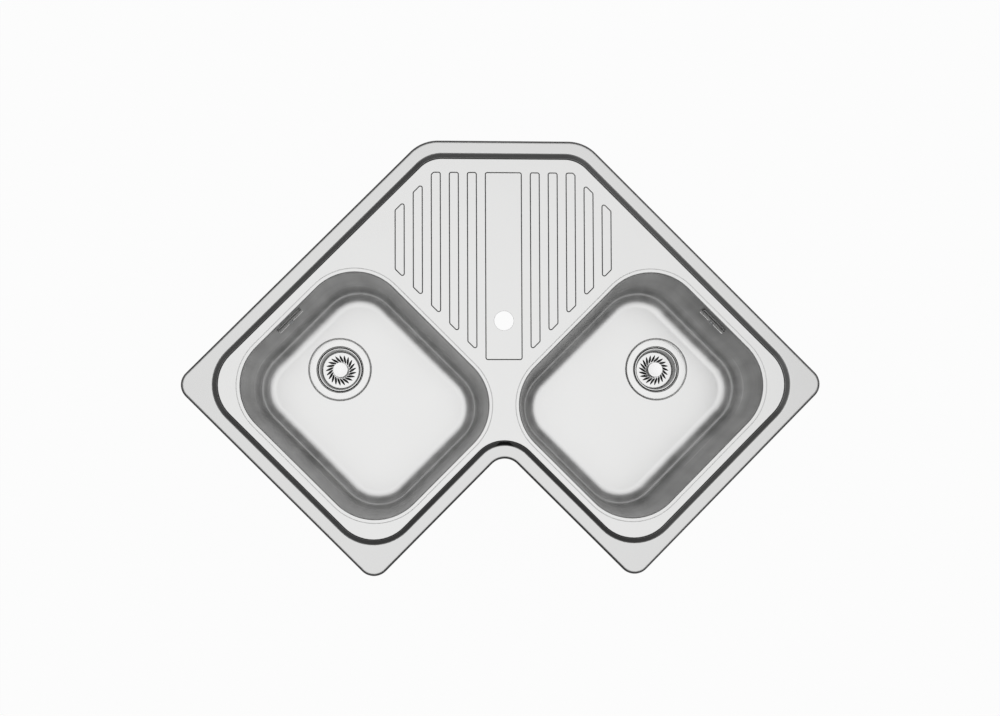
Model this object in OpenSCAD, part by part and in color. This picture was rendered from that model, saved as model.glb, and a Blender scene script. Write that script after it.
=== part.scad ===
// Corner kitchen sink: a pressed steel top with two bowls, a corner drainer, basket strainer
// wastes, overflows, linked pipework and the clamps that hold it down to a worktop.
// Millimetres. The origin is on the axis of the tap hole, level with the worktop.
// +X runs along the left leg and +Y along the right leg, both away from the corner of the walls.
// The right half is the left half mirrored about the diagonal.

/* [Sink top] */
// Length of a leg, from one wall edge to its far end
leg_len = 830; // [800:5:870]
// Width of a leg, from its wall edge to its front edge
leg_w = 500; // [494:1:520]
// How much the cut corner takes off each wall edge
corner_cut = 208; // [190:2:226]
// Thickness of the pressed steel
sheet = 1; // [0.8:0.1:1.2]
// Height of the flat border above the worktop
rim_h = 6; // [5:0.5:7]
// Width of the flat border
border_w = 23; // [22:0.5:24]
// Width of the sloping step inside the border
step_w = 10; // [8:0.5:11]
// Drop from the border to the drainer
step_h = 7; // [6:0.5:8]
// Radius of the four corners at the ends of the legs
leg_corner_r = 30; // [26:1:34]
// Radius of the two blunt corners beside the cut corner
cut_corner_r = 72; // [66:2:80]
// Radius of the inner corner between the legs
notch_r = 32; // [28:1:36]
// Radius of the step at the ends of the legs
step_leg_r = 84; // [76:2:90]
// Radius of the step beside the cut corner
step_cut_r = 65; // [58:1:72]

/* [Drainer] */
// Diameter of the tap hole
tap_hole_d = 35; // [34:0.5:36]
// Distance of the tap hole from each wall edge
tap_off = 334; // [326:2:342]
// Length of the raised panel round the tap hole
panel_len = 338; // [320:1:345]
// Width of the raised panel
panel_w = 65; // [60:1:72]
// Number of raised ribs on each side of the panel
rib_count = 5; // [3:1:5]
// Width of a rib
rib_w = 16.2; // [14:0.2:18]
// Gap between ribs
rib_gap = 16.3; // [14:0.1:18]
// Height of the ribs and the panel
rib_h = 1.5; // [1.2:0.1:2]
// Flat margin between the wall edges and the ribs
drainer_margin = 55.4; // [53:0.2:62]
// Flat margin between the cut edge and the ribs
drainer_top = 57.2; // [54:0.2:62]
// Flat margin between the ribs and a bowl
drainer_bowl_gap = 27.2; // [22:0.2:36]

/* [Bowls] */
// Opening of a bowl along its leg
bowl_len = 343; // [330:1:350]
// Opening of a bowl across its leg
bowl_w = 394; // [384:1:398]
// Depth of a bowl below the drainer
bowl_depth = 160; // [150:2:190]
// Corner radius of a bowl at its opening
bowl_corner_r = 96; // [90:1:104]
// Distance of a bowl from the wall edge
bowl_back = 55.5; // [54:0.5:58]
// Distance of a bowl from the end of its leg
bowl_end = 53.5; // [52:0.5:60]
// Slope of the bowl walls, in degrees
wall_draft = 7; // [5:0.5:8]
// Radius of the edge where the drainer turns down into a bowl
edge_r = 3; // [2:0.5:7]
// Radius between the walls and the floor of a bowl
floor_r = 28; // [24:1:32]

/* [Wastes] */
// Distance of a waste from the edge of its bowl beside the wall
waste_back = 117; // [114:1:124]
// Radius of the round recess pressed into the bowl floor
recess_r = 60; // [59:0.5:62]
// Depth of the recess
recess_depth = 3; // [2.6:0.2:4]
// Radius of the hole in the bowl floor
waste_hole_r = 45; // [44.6:0.1:46]
// Outer radius of the waste flange
flange_r = 57; // [56:0.5:57.5]
// Radius of the mouth of the waste
mouth_r = 43.5; // [43:0.1:43.7]
// Radius of the bottom of the waste dish
dish_r = 38; // [37.5:0.1:38.5]
// Depth of the waste dish
dish_depth = 36; // [34:0.5:40]
// Radius of the rim of the basket
basket_rim_r = 39.5; // [38.8:0.1:39.8]
// Radius of the bottom of the basket
basket_foot_r = 36; // [35:0.1:36.5]
// Number of slanted slots in the bottom of the basket
slot_count = 21; // [16:1:24]
// Radius of the knob of the basket
knob_r = 14.5; // [13:0.5:15]

/* [Overflows and pipes] */
// Height of the deck above the middle of an overflow
overflow_drop = 28; // [25:0.5:32]
// Length of the overflow cover along the wall of the bowl
cover_len = 57; // [54:1:62]
// Outer radius of the overflow hose
hose_r = 10; // [9:0.25:10.5]
// Radius of the bend of the overflow hose
hose_bend_r = 45; // [36:1:48]
// Outer radius of the waste pipes
pipe_r = 20; // [19:0.5:20.5]
// Radius of the bends of the waste pipes
pipe_bend_r = 40; // [34:1:46]
// Depth of the trap body below its nut
trap_h = 96; // [86:2:120]
// Length of the outlet pipe beyond the trap
outlet_len = 160; // [120:5:200]

/* [Clamps] */
// Distance of the screws from the outer edge
clamp_inset = 28; // [27:0.5:29]
// Travel of the clamps, from a thick worktop to a thin one
clamp_travel = 12; // [8:1:12]
// Thickness of the thickest worktop that the clamps hold
worktop_max = 40; // [36:1:44]

/* [Hidden] */
$fn = 96;
right_angle = 90;
half_turn = 180;
full_turn = 360;
half = 0.5;
diagonal = sqrt(2);

// How far cuts run past what they cut, and how far joined walls run into each other
over = 2;
lap = 1;
// Hair gap at the ends of a slanted run, which a tangent line also runs into its arc by,
// how far off square a square run may be, and how a bend's ends sit in the walls of its pipes
seam_gap = 0.01;
bend_inlay = 0.05;
bend_lap_angle = 0.5;
aligned_share = 0.001;
// Gap between a moving piece and its seat, and the radial play of a turning fit
seat_gap = 0.3;
play = 0.1;

// Heights of the pressed surfaces
deck_z = rim_h - step_h;
floor_z = deck_z - bowl_depth;
recess_z = floor_z - recess_depth;

// Ends of the legs and of the bowls, measured from the tap hole
wall_line = -tap_off;
leg_tip = leg_len - tap_off;
leg_front = leg_w - tap_off;
bowl_x1 = leg_tip - bowl_end;
bowl_x0 = bowl_x1 - bowl_len;
bowl_y0 = wall_line + bowl_back;
bowl_y1 = bowl_y0 + bowl_w;
bowl_cx = (bowl_x0 + bowl_x1) * half;
bowl_cy = (bowl_y0 + bowl_y1) * half;
waste_y = bowl_y0 + waste_back;

// Rim seal
seal_gap = 0.5;
seal_w = 8;

// Clamps: bracket, screw and claw
bracket_t = 1.5;
bracket_w = 24;
bracket_foot = 7;
bracket_web_gap = 5.5;
bracket_reach = 6;
head_room = 4;
nut_plate_z = -clamp_travel - head_room;
collar_h = 3.5;
collar_r = 4.5;
screw_r = 2.5;
screw_head_r = 5;
screw_head_h = 3.5;
screw_slot = 1.2;
screw_proud = 0.5;
claw_t = 1.5;
claw_w = 18;
claw_tail = 7;
claw_reach = 24;
claw_toe_h = 18;
claw_notch = 6;
claw_notch_h = 4;
screw_top = nut_plate_z + screw_proud;
claw_tip_z = -worktop_max;
claw_z = claw_tip_z - claw_toe_h;
// Places of the clamps on the left leg, as shares of a leg's length or width
clamp_wall_shares = [0.36, 0.83];
clamp_tip_share = 0.5;
clamp_front_share = 0.77;

// Sound pads
pad_t = 2;
pad_len = 200;
pad_waste_gap = 26;
pad_front_gap = 63;
pad_y0 = waste_y + recess_r + pad_waste_gap;
pad_w = bowl_y1 - pad_front_gap - pad_y0;
drainer_pad_w = 196;
drainer_pad_len = 205;
drainer_pad_start = 215;

// Waste flange, cup and fixing screw
seal_t = 1;
seal_back = 1;
flange_seal_in = waste_hole_r + seal_back;
flange_z = recess_z + seal_t + sheet;
dish_shoulder = 10;
dish_shoulder_r = 40.6;
dish_z = flange_z - dish_depth;
drain_hole_r = 5;
drain_hole_ring = 17;
drain_holes = 8;
fix_screw_r = 3;
fix_hole_r = fix_screw_r + seat_gap;
fix_head_r = 6;
fix_head_h = 4;
fix_pin_r = 2;
fix_pin_h = 8;
fix_len = 18;
cup_seal_t = 2;
cup_z = recess_z - sheet - cup_seal_t;
cup_flange_r = 54;
cup_flange_t = 3;
cup_r = 48;
cup_wall = 2.5;
cup_body_h = 46;
cup_cone_h = 18;
cup_tail_h = 18;
cup_hub_r = 6;
cup_hub_h = 12;
cup_hub_drop = 2;
cup_arm_w = 4;
cup_cone_z = cup_z - cup_body_h;
cup_tail_z = cup_cone_z - cup_cone_h;
cup_end_z = cup_tail_z - cup_tail_h;
hub_z = dish_z - sheet - cup_hub_drop;

// Stopper and basket
stopper_t = 3;
stopper_r = 33;
stem_wall = 1.3;
stem_skirt_r = fix_head_r + seat_gap + stem_wall;
stem_disc_r = 30;
stem_disc_t = 1.5;
stem_neck_r = 6.5;
stem_neck_h = 3;
stem_pin_r = 4;
stem_pin_h = 17;
basket_t = 0.8;
basket_rim_t = 1.6;
basket_drop = 5;
basket_lip = 1.1;
basket_wall_r = basket_rim_r - basket_lip;
slot_in_r = 15.5;
slot_out_r = 28;
slot_w = 2.4;
slot_slant = 28;
knob_foot_r = 9;
knob_waist_r = 6.6;
knob_cap_t = 5;
knob_drop = 8;
stopper_z = dish_z + seat_gap;
stem_disc_z = stopper_z + stopper_t;
basket_z = stem_disc_z + stem_disc_t + stem_neck_h;
basket_top_z = flange_z - basket_drop;
knob_top_z = flange_z - knob_drop;
knob_bore_r = stem_pin_r + play;

// Overflow cover, gasket, housing and hose
overflow_hole_len = 46;
overflow_hole_h = 12;
cover_h = 24;
cover_bulge = 4;
cover_t = 1;
arch_r = (pow(cover_h * half, 2) + pow(cover_bulge, 2)) * half / cover_bulge;
arch_spread = asin(cover_h * half / arch_r);
cover_top = cover_bulge + cover_t * cos(arch_spread);
cover_screw_r = 2.5;
cover_head_r = 4.5;
cover_head_h = 2;
housing_len = 62;
housing_h = 30;
housing_t = 3;
box_len = 50;
box_h = 20;
box_depth = 30;
box_wall = 2;
boss_r = 5;
hose_axis_off = 24;
housing_face = -sheet - seam_gap - seal_t;
spout_r = 7;
spout_bore_r = 5.4;
spout_len = 12;
spout_collar_r = 10;
spout_collar_len = 10;
inlet_drop = 25;
hose_rib_h = 1.6;
hose_wall = 0.5;
hose_root_r = hose_r - hose_rib_h;
hose_bore_r = hose_root_r - hose_wall;
hose_sides = 8;
rib_pitch = 4;
cuff_len = 14;
inlet_z = cup_z - inlet_drop;
inlet_y = waste_y - cup_r - spout_collar_len;
hose_nut_r = 14;
hose_nut_len = 10;

// Pipe couplings, branch pipes, tee and trap
pipe_wall = 2;
thread_h = 1;
thread_r = pipe_r + thread_h;
thread_wall = 3.5;
washer_t = 3;
collar_t = 3;
nut_r = 27;
nut_up = 12;
nut_down = 6;
nut_fit = 0.3;
drop_len = 12;
tee_half = 45;
tee_drop = 55;
trap_neck = 20;
trap_head_r = 38;
trap_head_h = 40;
trap_wall = 3;
trap_step = 2;
trap_thread_r = trap_head_r - trap_step;
trap_thread_h = 12;
trap_cup_r = trap_head_r + trap_step;
trap_port_len = 62;
trap_port_drop = 18;
// The outlet points along the left leg's wall edge, clear of the view through the tap hole,
// and its pipe is thinner where the nut turns on it
port_heading = half_turn;
neck_in = 1;
neck_len = 8;
dip_r = 17;
dip_wall = 2;
dip_clear = 24;
waste_gap = bowl_cx - waste_y;
tee_x = (bowl_cx + waste_y) * half;
run_half = waste_gap / diagonal;
run_z = cup_end_z - washer_t - collar_t - drop_len - pipe_bend_r;
tee_end_z = run_z - tee_drop;
trap_z = tee_end_z - washer_t - trap_neck;
port_z = trap_z - trap_port_drop;
trap_floor_z = trap_z - trap_h;

// Corners of a closed outline, listed anticlockwise, and the arcs that round them
function unit(v) = v / norm(v);
function left_of(v) = [-v[1], v[0]];
function into(pts, i) = unit(pts[i] - pts[(i + len(pts) - 1) % len(pts)]);
function away(pts, i) = unit(pts[(i + 1) % len(pts)] - pts[i]);
function bend(pts, i) = let (a = into(pts, i), b = away(pts, i))
    atan2(a[0] * b[1] - a[1] * b[0], a * b);
function tangent(pts, rads, i) = rads[i] * tan(abs(bend(pts, i)) * half);
function arc_start(pts, rads, i) = pts[i] - into(pts, i) * tangent(pts, rads, i);
function arc_end(pts, rads, i) = pts[i] + away(pts, i) * tangent(pts, rads, i);
function arc_centre(pts, rads, i) = arc_start(pts, rads, i)
    + left_of(into(pts, i)) * rads[i] * sign(bend(pts, i));
function heading(v) = atan2(v[1], v[0]);

// A flat shape with rounded corners
module rounded(pts, rads) {
    difference() {
        union() {
            polygon([for (i = [0:len(pts) - 1], e = [0, 1])
                e == 0 ? arc_start(pts, rads, i) : arc_end(pts, rads, i)]);
            for (i = [0:len(pts) - 1]) if (bend(pts, i) > 0) {
                translate(arc_centre(pts, rads, i)) circle(rads[i]);
            }
        }
        for (i = [0:len(pts) - 1]) if (bend(pts, i) < 0) {
            translate(arc_centre(pts, rads, i)) circle(rads[i]);
        }
    }
}

// Whether a direction runs along X or Y
function square_on(v) = min(abs(v[0]), abs(v[1])) < aligned_share;

// A profile carried round a rounded outline: x is the distance outwards, y the height.
// A run at a slant stops a hair short of its corners, where the flat plates join it to them,
// and there the profile's flat ends taper by $hair, so that they lie within those plates.
module swept(pts, rads) {
    for (i = [0:len(pts) - 1]) {
        from = arc_end(pts, rads, i);
        to = arc_start(pts, rads, (i + 1) % len(pts));
        run = away(pts, i);
        $hair = square_on(run) ? 0 : seam_gap;
        translate(to - run * $hair) rotate([right_angle, 0, heading(run) - right_angle])
            linear_extrude(norm(to - from) - $hair * 2) children();
        turn = bend(pts, i);
        onward = square_on(into(pts, i));
        side = heading(onward ? into(pts, i) : run) - right_angle;
        translate(arc_centre(pts, rads, i))
            if (turn > 0) {
                rotate(side) rotate_extrude(angle = onward ? turn : -turn)
                    translate([rads[i], 0]) children($hair = 0);
            } else {
                rotate(side + half_turn) rotate_extrude(angle = turn)
                    translate([rads[i], 0]) mirror([1, 0]) children($hair = 0);
            }
    }
}

// A stretch of bent sheet in a profile, between two angles
module bent(r_out, r_in, from, to) {
    reach = r_out * 2;
    middle = (from + to) * half;
    intersection() {
        difference() {
            circle(r_out);
            circle(r_in);
        }
        polygon([[0, 0], for (a = [from, middle, to]) [cos(a), sin(a)] * reach]);
    }
}

module tube(r_out, r_in, h) {
    difference() {
        cylinder(r = r_out, h = h);
        translate([0, 0, -over]) cylinder(r = r_in, h = h + over * 2);
    }
}

// A quarter bend: it starts upright at the origin and leaves along +X, and its ends run
// a little way into the walls of the pipes that it joins
module quarter_bend(r_out, r_in, turn_r) {
    translate([turn_r, 0, 0]) rotate([right_angle, 0, 0]) rotate(half_turn - bend_lap_angle)
        rotate_extrude(angle = right_angle + bend_lap_angle * 2) translate([turn_r, 0])
            difference() {
                circle(r_out - bend_inlay);
                circle(r_in + bend_inlay);
            }
}

// The right half is the left half with X and Y exchanged
module right_half() {
    mirror([1, -1, 0]) children();
}

// What is alike on both sides of a bowl's middle line is turned round to the right bowl
module right_side() {
    translate([0, bowl_cx * 2]) rotate(-right_angle) children();
}

module both_sides() {
    children();
    right_side() children();
}

// Outline of the sink top, set in by d, and the radii that go with it
function cut_at(d) = corner_cut + d * (diagonal - 1);
function outline_pts(d) = [
    [cut_at(d), d], [leg_len - d, d], [leg_len - d, leg_w - d], [leg_w - d, leg_w - d],
    [leg_w - d, leg_len - d], [d, leg_len - d], [d, cut_at(d)]
] + [for (i = [0:6]) [wall_line, wall_line]];
function ring_rads(cut, leg, notch) = [cut, leg, leg, notch, leg, leg, cut];
function outline_rads(d) = ring_rads(cut_corner_r - d, leg_corner_r - d, notch_r + d);
function step_rads(d) = ring_rads(step_cut_r - d, step_leg_r - d, notch_r + border_w + d);

// Opening of the left bowl, grown by d
function bowl_pts(d) = [[bowl_x0 - d, bowl_y0 - d], [bowl_x1 + d, bowl_y0 - d],
    [bowl_x1 + d, bowl_y1 + d], [bowl_x0 - d, bowl_y1 + d]];
function bowl_rads(d) = [for (i = [0:3]) bowl_corner_r + d];

module lip_profile() {
    inner = -rim_h - lap;
    translate([-rim_h, 0]) intersection() {
        difference() {
            circle(rim_h);
            circle(rim_h - sheet);
        }
        square(rim_h + over);
    }
    polygon([[-rim_h, rim_h], [inner, rim_h - $hair],
        [inner, rim_h - sheet + $hair], [-rim_h, rim_h - sheet]]);
}

module step_profile() {
    inner = -step_w - lap;
    polygon([[lap, rim_h - $hair], [0, rim_h], [-step_w, deck_z],
        [inner, deck_z - $hair], [inner, deck_z - sheet + $hair],
        [-step_w, deck_z - sheet], [0, rim_h - sheet], [lap, rim_h - sheet + $hair]]);
}

// Raised ribs and panel, seen from above and set in by d
module drainer_field(d) {
    near = drainer_margin + d;
    start = corner_cut + (drainer_top + d) * diagonal;
    far = leg_len - bowl_end - bowl_len - drainer_bowl_gap - d;
    translate([wall_line, wall_line])
        polygon([[start - near, near], [far, near], [far, far], [near, far],
            [near, start - near]]);
}

module ribs(d) {
    first = (panel_w + rib_w) * half + rib_gap;
    pitch = rib_w + rib_gap;
    for (side = [-1, 1], i = [0:rib_count - 1]) {
        intersection() {
            drainer_field(d);
            translate([wall_line, wall_line]) rotate(right_angle * half)
                translate([0, side * (first + pitch * i) - rib_w * half + d])
                    square([leg_len, rib_w - d * 2]);
        }
    }
}

module panel(d) {
    start = corner_cut / diagonal + drainer_top;
    translate([wall_line, wall_line]) rotate(right_angle * half)
        translate([start + d, -panel_w * half + d])
            square([panel_len - d * 2, panel_w - d * 2]);
}

module raised(d) {
    ribs(d);
    panel(d);
}

module sink_top() {
    in_lap = lap * half;
    color("gainsboro") difference() {
        union() {
            swept(outline_pts(0), outline_rads(0)) lip_profile();
            swept(outline_pts(border_w), step_rads(0)) step_profile();
            translate([0, 0, rim_h - sheet]) linear_extrude(sheet) difference() {
                rounded(outline_pts(rim_h + in_lap), outline_rads(rim_h + in_lap));
                rounded(outline_pts(border_w - in_lap), step_rads(-in_lap));
            }
            translate([0, 0, deck_z - sheet]) linear_extrude(sheet) difference() {
                rounded(outline_pts(border_w + step_w + in_lap), step_rads(step_w + in_lap));
                rounded(bowl_pts(edge_r), bowl_rads(edge_r));
                right_side() rounded(bowl_pts(edge_r), bowl_rads(edge_r));
            }
            translate([0, 0, deck_z - sheet]) linear_extrude(sheet + rib_h) raised(0);
        }
        translate([0, 0, deck_z - sheet - over]) linear_extrude(rib_h + over) raised(sheet);
        translate([0, 0, deck_z - over]) cylinder(d = tap_hole_d, h = rib_h + over * 2);
    }
}

// Key points of the bowl wall, with x outwards from the opening and y the height
wall_dir = [-sin(wall_draft), -cos(wall_draft)];
wall_out = [cos(wall_draft), -sin(wall_draft)];
edge_centre = [edge_r, deck_z - edge_r];
wall_top = edge_centre - wall_out * edge_r;
wall_foot_z = floor_z + floor_r - floor_r * sin(wall_draft);
wall_run = (wall_top[1] - wall_foot_z) / cos(wall_draft);
wall_foot = wall_top + wall_dir * wall_run;
floor_centre = wall_foot - wall_out * floor_r;
floor_inset = -floor_centre[0];

// Section of the space inside a bowl, grown by d
module bowl_space(d) {
    inner_x = floor_centre[0] - lap;
    difference() {
        union() {
            polygon([[inner_x, deck_z], [inner_x, floor_z - d], [floor_centre[0], floor_z - d],
                wall_foot + wall_out * (d - seam_gap), wall_top + wall_out * (d + seam_gap),
                edge_centre,
                [edge_r, deck_z]]);
            translate(floor_centre) circle(floor_r + d);
        }
        translate(edge_centre) circle(edge_r - d);
    }
}

module bowl_profile() {
    intersection() {
        difference() {
            bowl_space(sheet);
            bowl_space(0);
        }
        translate([floor_centre[0] - lap, floor_z - sheet])
            square([lap + edge_r - floor_centre[0], bowl_depth + sheet]);
    }
}

module at_waste() {
    translate([bowl_cx, waste_y, 0]) children();
}

module recess_profile() {
    foot = recess_r - recess_depth * half;
    polygon([[recess_r + lap, floor_z], [recess_r, floor_z], [foot, recess_z],
        [waste_hole_r, recess_z], [waste_hole_r, recess_z - sheet], [foot, recess_z - sheet],
        [recess_r, floor_z - sheet], [recess_r + lap, floor_z - sheet]]);
}

module bowl() {
    color("silver") difference() {
        union() {
            swept(bowl_pts(0), bowl_rads(0)) bowl_profile();
            translate([0, 0, floor_z - sheet]) linear_extrude(sheet) difference() {
                rounded(bowl_pts(-floor_inset), bowl_rads(-floor_inset));
                at_waste() circle(recess_r);
            }
            at_waste() rotate_extrude() recess_profile();
        }
        at_overflow() translate([0, 0, -sheet * half])
            cube([overflow_hole_len, overflow_hole_h, sheet + over * 2], center = true);
    }
}

module rim_seal() {
    outer = rim_h + seal_gap;
    inner = outer + seal_w;
    color("dimgray") linear_extrude(rim_h - sheet) difference() {
        rounded(outline_pts(outer), outline_rads(outer));
        rounded(outline_pts(inner), outline_rads(inner));
    }
}

// Clamp places on the left leg: a point on the outer edge and the heading outwards
clamp_places = [
    [wall_line + leg_len * clamp_wall_shares[0], wall_line, -right_angle],
    [wall_line + leg_len * clamp_wall_shares[1], wall_line, -right_angle],
    [leg_tip, wall_line + leg_w * clamp_tip_share, 0],
    [wall_line + leg_len * clamp_front_share, leg_front, right_angle]
];

// Clamps 1 to 4 are on the left leg and 5 to 8 on the right
module at_clamp(i) {
    per_leg = len(clamp_places);
    if (i < per_leg) {
        translate([clamp_places[i][0], clamp_places[i][1], 0])
            rotate(clamp_places[i][2]) children();
    } else {
        right_half() at_clamp(i - per_leg) children();
    }
}

module clamp_bracket() {
    web_x = -clamp_inset + bracket_web_gap;
    top_z = rim_h - sheet;
    tail_x = -clamp_inset - bracket_reach;
    side = -bracket_w * half;
    difference() {
        union() {
            translate([web_x, side, top_z - bracket_t])
                cube([bracket_foot, bracket_w, bracket_t]);
            translate([web_x, side, nut_plate_z - bracket_t])
                cube([bracket_t, bracket_w, top_z - nut_plate_z + bracket_t]);
            translate([tail_x, side, nut_plate_z - bracket_t])
                cube([web_x - tail_x + bracket_t, bracket_w, bracket_t]);
            translate([-clamp_inset, 0, nut_plate_z - bracket_t - collar_h])
                cylinder(r = collar_r, h = collar_h + bracket_t);
        }
        translate([-clamp_inset, 0, nut_plate_z - bracket_t - collar_h - over])
            cylinder(r = screw_r + play, h = collar_h + bracket_t + over * 2);
    }
}

module clamp_brackets() {
    color("darkgray") for (i = [0:len(clamp_places) * 2 - 1]) at_clamp(i) clamp_bracket();
}

module clamp_screw(i) {
    head_top = claw_z - seat_gap;
    color("slategray") at_clamp(i) translate([-clamp_inset, 0, 0]) difference() {
        union() {
            translate([0, 0, head_top]) cylinder(r = screw_r, h = screw_top - head_top);
            translate([0, 0, head_top - screw_head_h])
                cylinder(r = screw_head_r, h = screw_head_h);
        }
        translate([-screw_head_r - over, -screw_slot * half, head_top - screw_head_h - over])
            cube([(screw_head_r + over) * 2, screw_slot, screw_slot + over]);
    }
}

module clamp_claw(i) {
    side = -claw_w * half;
    color("lightsteelblue") at_clamp(i) translate([-clamp_inset, 0, claw_z]) difference() {
        union() {
            translate([-claw_tail, side, 0]) cube([claw_tail + claw_reach, claw_w, claw_t]);
            translate([claw_reach - claw_t, side, 0]) cube([claw_t, claw_w, claw_toe_h]);
        }
        translate([0, 0, -over]) cylinder(r = screw_r + play, h = claw_t + over * 2);
        translate([claw_reach - claw_t - over, -claw_notch * half, claw_toe_h - claw_notch_h])
            cube([claw_t + over * 2, claw_notch, claw_notch_h + over]);
    }
}

module sound_pad() {
    color("dimgray") translate([bowl_cx - pad_len * half, pad_y0, floor_z - sheet - pad_t])
        cube([pad_len, pad_w, pad_t]);
}

module sound_pad_drainer() {
    color("dimgray") translate([wall_line, wall_line, deck_z - sheet - pad_t])
        rotate(right_angle * half) translate([drainer_pad_start, -drainer_pad_w * half, 0])
            cube([drainer_pad_len, drainer_pad_w, pad_t]);
}

module flange() {
    color("silver") at_waste() difference() {
        rotate_extrude() polygon([[flange_r, flange_z], [mouth_r, flange_z],
            [dish_shoulder_r, flange_z - dish_shoulder], [dish_r, dish_z], [fix_hole_r, dish_z],
            [fix_hole_r, dish_z - sheet], [dish_r + sheet, dish_z - sheet],
            [dish_shoulder_r + sheet, flange_z - dish_shoulder],
            [mouth_r + sheet, flange_z - sheet], [flange_r, flange_z - sheet]]);
        for (i = [0:drain_holes - 1]) rotate(full_turn * i / drain_holes)
            translate([drain_hole_ring, 0, dish_z - sheet - over])
                cylinder(r = drain_hole_r, h = sheet + over * 2);
    }
}

module flange_seal() {
    color("dimgray") at_waste() translate([0, 0, recess_z])
        tube(flange_r - seal_t, flange_seal_in, seal_t);
}

module cup_seal() {
    color("dimgray") at_waste() translate([0, 0, cup_z])
        tube(cup_flange_r, flange_seal_in, cup_seal_t);
}

module waste_cup() {
    inner = cup_r - cup_wall;
    bore = thread_r - thread_wall;
    color("white") at_waste() difference() {
        union() {
            difference() {
                rotate_extrude() polygon([[inner, cup_z], [cup_flange_r, cup_z],
                    [cup_flange_r, cup_z - cup_flange_t], [cup_r, cup_z - cup_flange_t],
                    [cup_r, cup_cone_z], [thread_r, cup_tail_z], [thread_r, cup_end_z],
                    [bore, cup_end_z], [bore, cup_tail_z], [inner, cup_cone_z]]);
                at_inlet(-over) cylinder(r = spout_bore_r, h = cup_wall + over * 2);
            }
            at_inlet(0) translate([0, 0, cup_wall * half])
                tube(spout_collar_r, spout_bore_r, spout_collar_len + cup_wall * half);
            at_inlet(0) translate([0, 0, cup_wall + spout_collar_len])
                tube(spout_r, spout_bore_r, spout_len);
            translate([0, 0, hub_z - cup_hub_h]) cylinder(r = cup_hub_r, h = cup_hub_h);
            for (a = [0, right_angle]) rotate(a)
                translate([-inner - lap, -cup_arm_w * half, hub_z - cup_hub_h])
                    cube([(inner + lap) * 2, cup_arm_w, cup_hub_h]);
        }
        translate([0, 0, hub_z - cup_hub_h - over])
            cylinder(r = fix_screw_r + play, h = cup_hub_h + over * 2);
    }
}

// Inner wall of the cup where the overflow comes in, facing outwards to the wall edge
module at_inlet(d) {
    translate([0, -cup_r + cup_wall - d, inlet_z]) rotate([right_angle, 0, 0]) children();
}

module fixing_screw() {
    at_waste() {
        translate([0, 0, dish_z]) cylinder(r = fix_head_r, h = fix_head_h);
        translate([0, 0, dish_z + fix_head_h]) cylinder(r = fix_pin_r, h = fix_pin_h);
        translate([0, 0, dish_z - fix_len]) cylinder(r = fix_screw_r, h = fix_len);
    }
}

module fixing_screws() {
    color("darkgray") both_sides() fixing_screw();
}

module stopper_stem() {
    socket_r = fix_head_r + seat_gap;
    pin_top = basket_z + stem_pin_h;
    color("whitesmoke") at_waste() difference() {
        rotate_extrude() polygon([[0, stopper_z], [stem_skirt_r, stopper_z],
            [stem_skirt_r, stem_disc_z], [stem_disc_r, stem_disc_z],
            [stem_disc_r, stem_disc_z + stem_disc_t], [stem_neck_r, stem_disc_z + stem_disc_t],
            [stem_neck_r, basket_z], [stem_pin_r, basket_z], [stem_pin_r, pin_top],
            [0, pin_top]]);
        translate([0, 0, stopper_z - over])
            cylinder(r = socket_r, h = fix_head_h + over);
        translate([0, 0, stopper_z - over])
            cylinder(r = fix_pin_r + seat_gap, h = fix_head_h + fix_pin_h + over + seat_gap);
    }
}

module stopper_seal() {
    color("dimgray") at_waste() translate([0, 0, stopper_z])
        tube(stopper_r, stem_skirt_r, stopper_t);
}

module basket() {
    slot_len = norm([slot_out_r - slot_in_r * cos(slot_slant), slot_in_r * sin(slot_slant)]);
    slot_mid = (slot_in_r + slot_out_r) * half;
    foot_z = basket_z + seat_gap;
    color("silver") at_waste() difference() {
        rotate_extrude() polygon([[knob_bore_r, foot_z], [basket_foot_r, foot_z],
            [basket_wall_r, basket_top_z - basket_rim_t],
            [basket_rim_r, basket_top_z - basket_rim_t], [basket_rim_r, basket_top_z],
            [basket_wall_r - basket_t, basket_top_z],
            [basket_foot_r - basket_t, foot_z + basket_t], [knob_bore_r, foot_z + basket_t]]);
        for (i = [0:slot_count - 1]) rotate(full_turn * i / slot_count)
            translate([slot_mid, 0, foot_z + basket_t * half]) rotate(slot_slant)
                cube([slot_len, slot_w, basket_t + over * 2], center = true);
    }
}

module basket_knob() {
    foot_z = basket_z + seat_gap + basket_t;
    pin_top = basket_z + stem_pin_h + seat_gap;
    neck_z = knob_top_z - knob_cap_t;
    rim_z = knob_top_z - knob_cap_t * half;
    color("gainsboro") at_waste() difference() {
        rotate_extrude() polygon([[0, foot_z], [knob_foot_r, foot_z],
            [knob_waist_r, (foot_z + neck_z) * half], [knob_foot_r, neck_z], [knob_r, rim_z],
            [knob_r, knob_top_z], [0, knob_top_z]]);
        translate([0, 0, foot_z - over]) cylinder(r = knob_bore_r, h = pin_top - foot_z + over);
    }
}

// Overflow frame: on the bowl's wall, z into the bowl and y down the wall
overflow_z = deck_z - overflow_drop;
overflow_inset = (wall_top[1] - overflow_z) * tan(wall_draft) - wall_top[0];
overflow_y = bowl_y0 + overflow_inset;

module at_overflow() {
    translate([bowl_cx, overflow_y, overflow_z]) rotate([wall_draft - right_angle, 0, 0])
        children();
}

module overflow_cover() {
    color("silver") at_overflow() difference() {
        translate([-cover_len * half, 0, cover_top - arch_r])
            rotate([right_angle, 0, right_angle]) linear_extrude(cover_len)
                bent(arch_r, arch_r - cover_t, right_angle - arch_spread,
                    right_angle + arch_spread);
        translate([0, 0, -over]) cylinder(r = cover_screw_r + play, h = cover_top + over * 2);
    }
}

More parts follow.
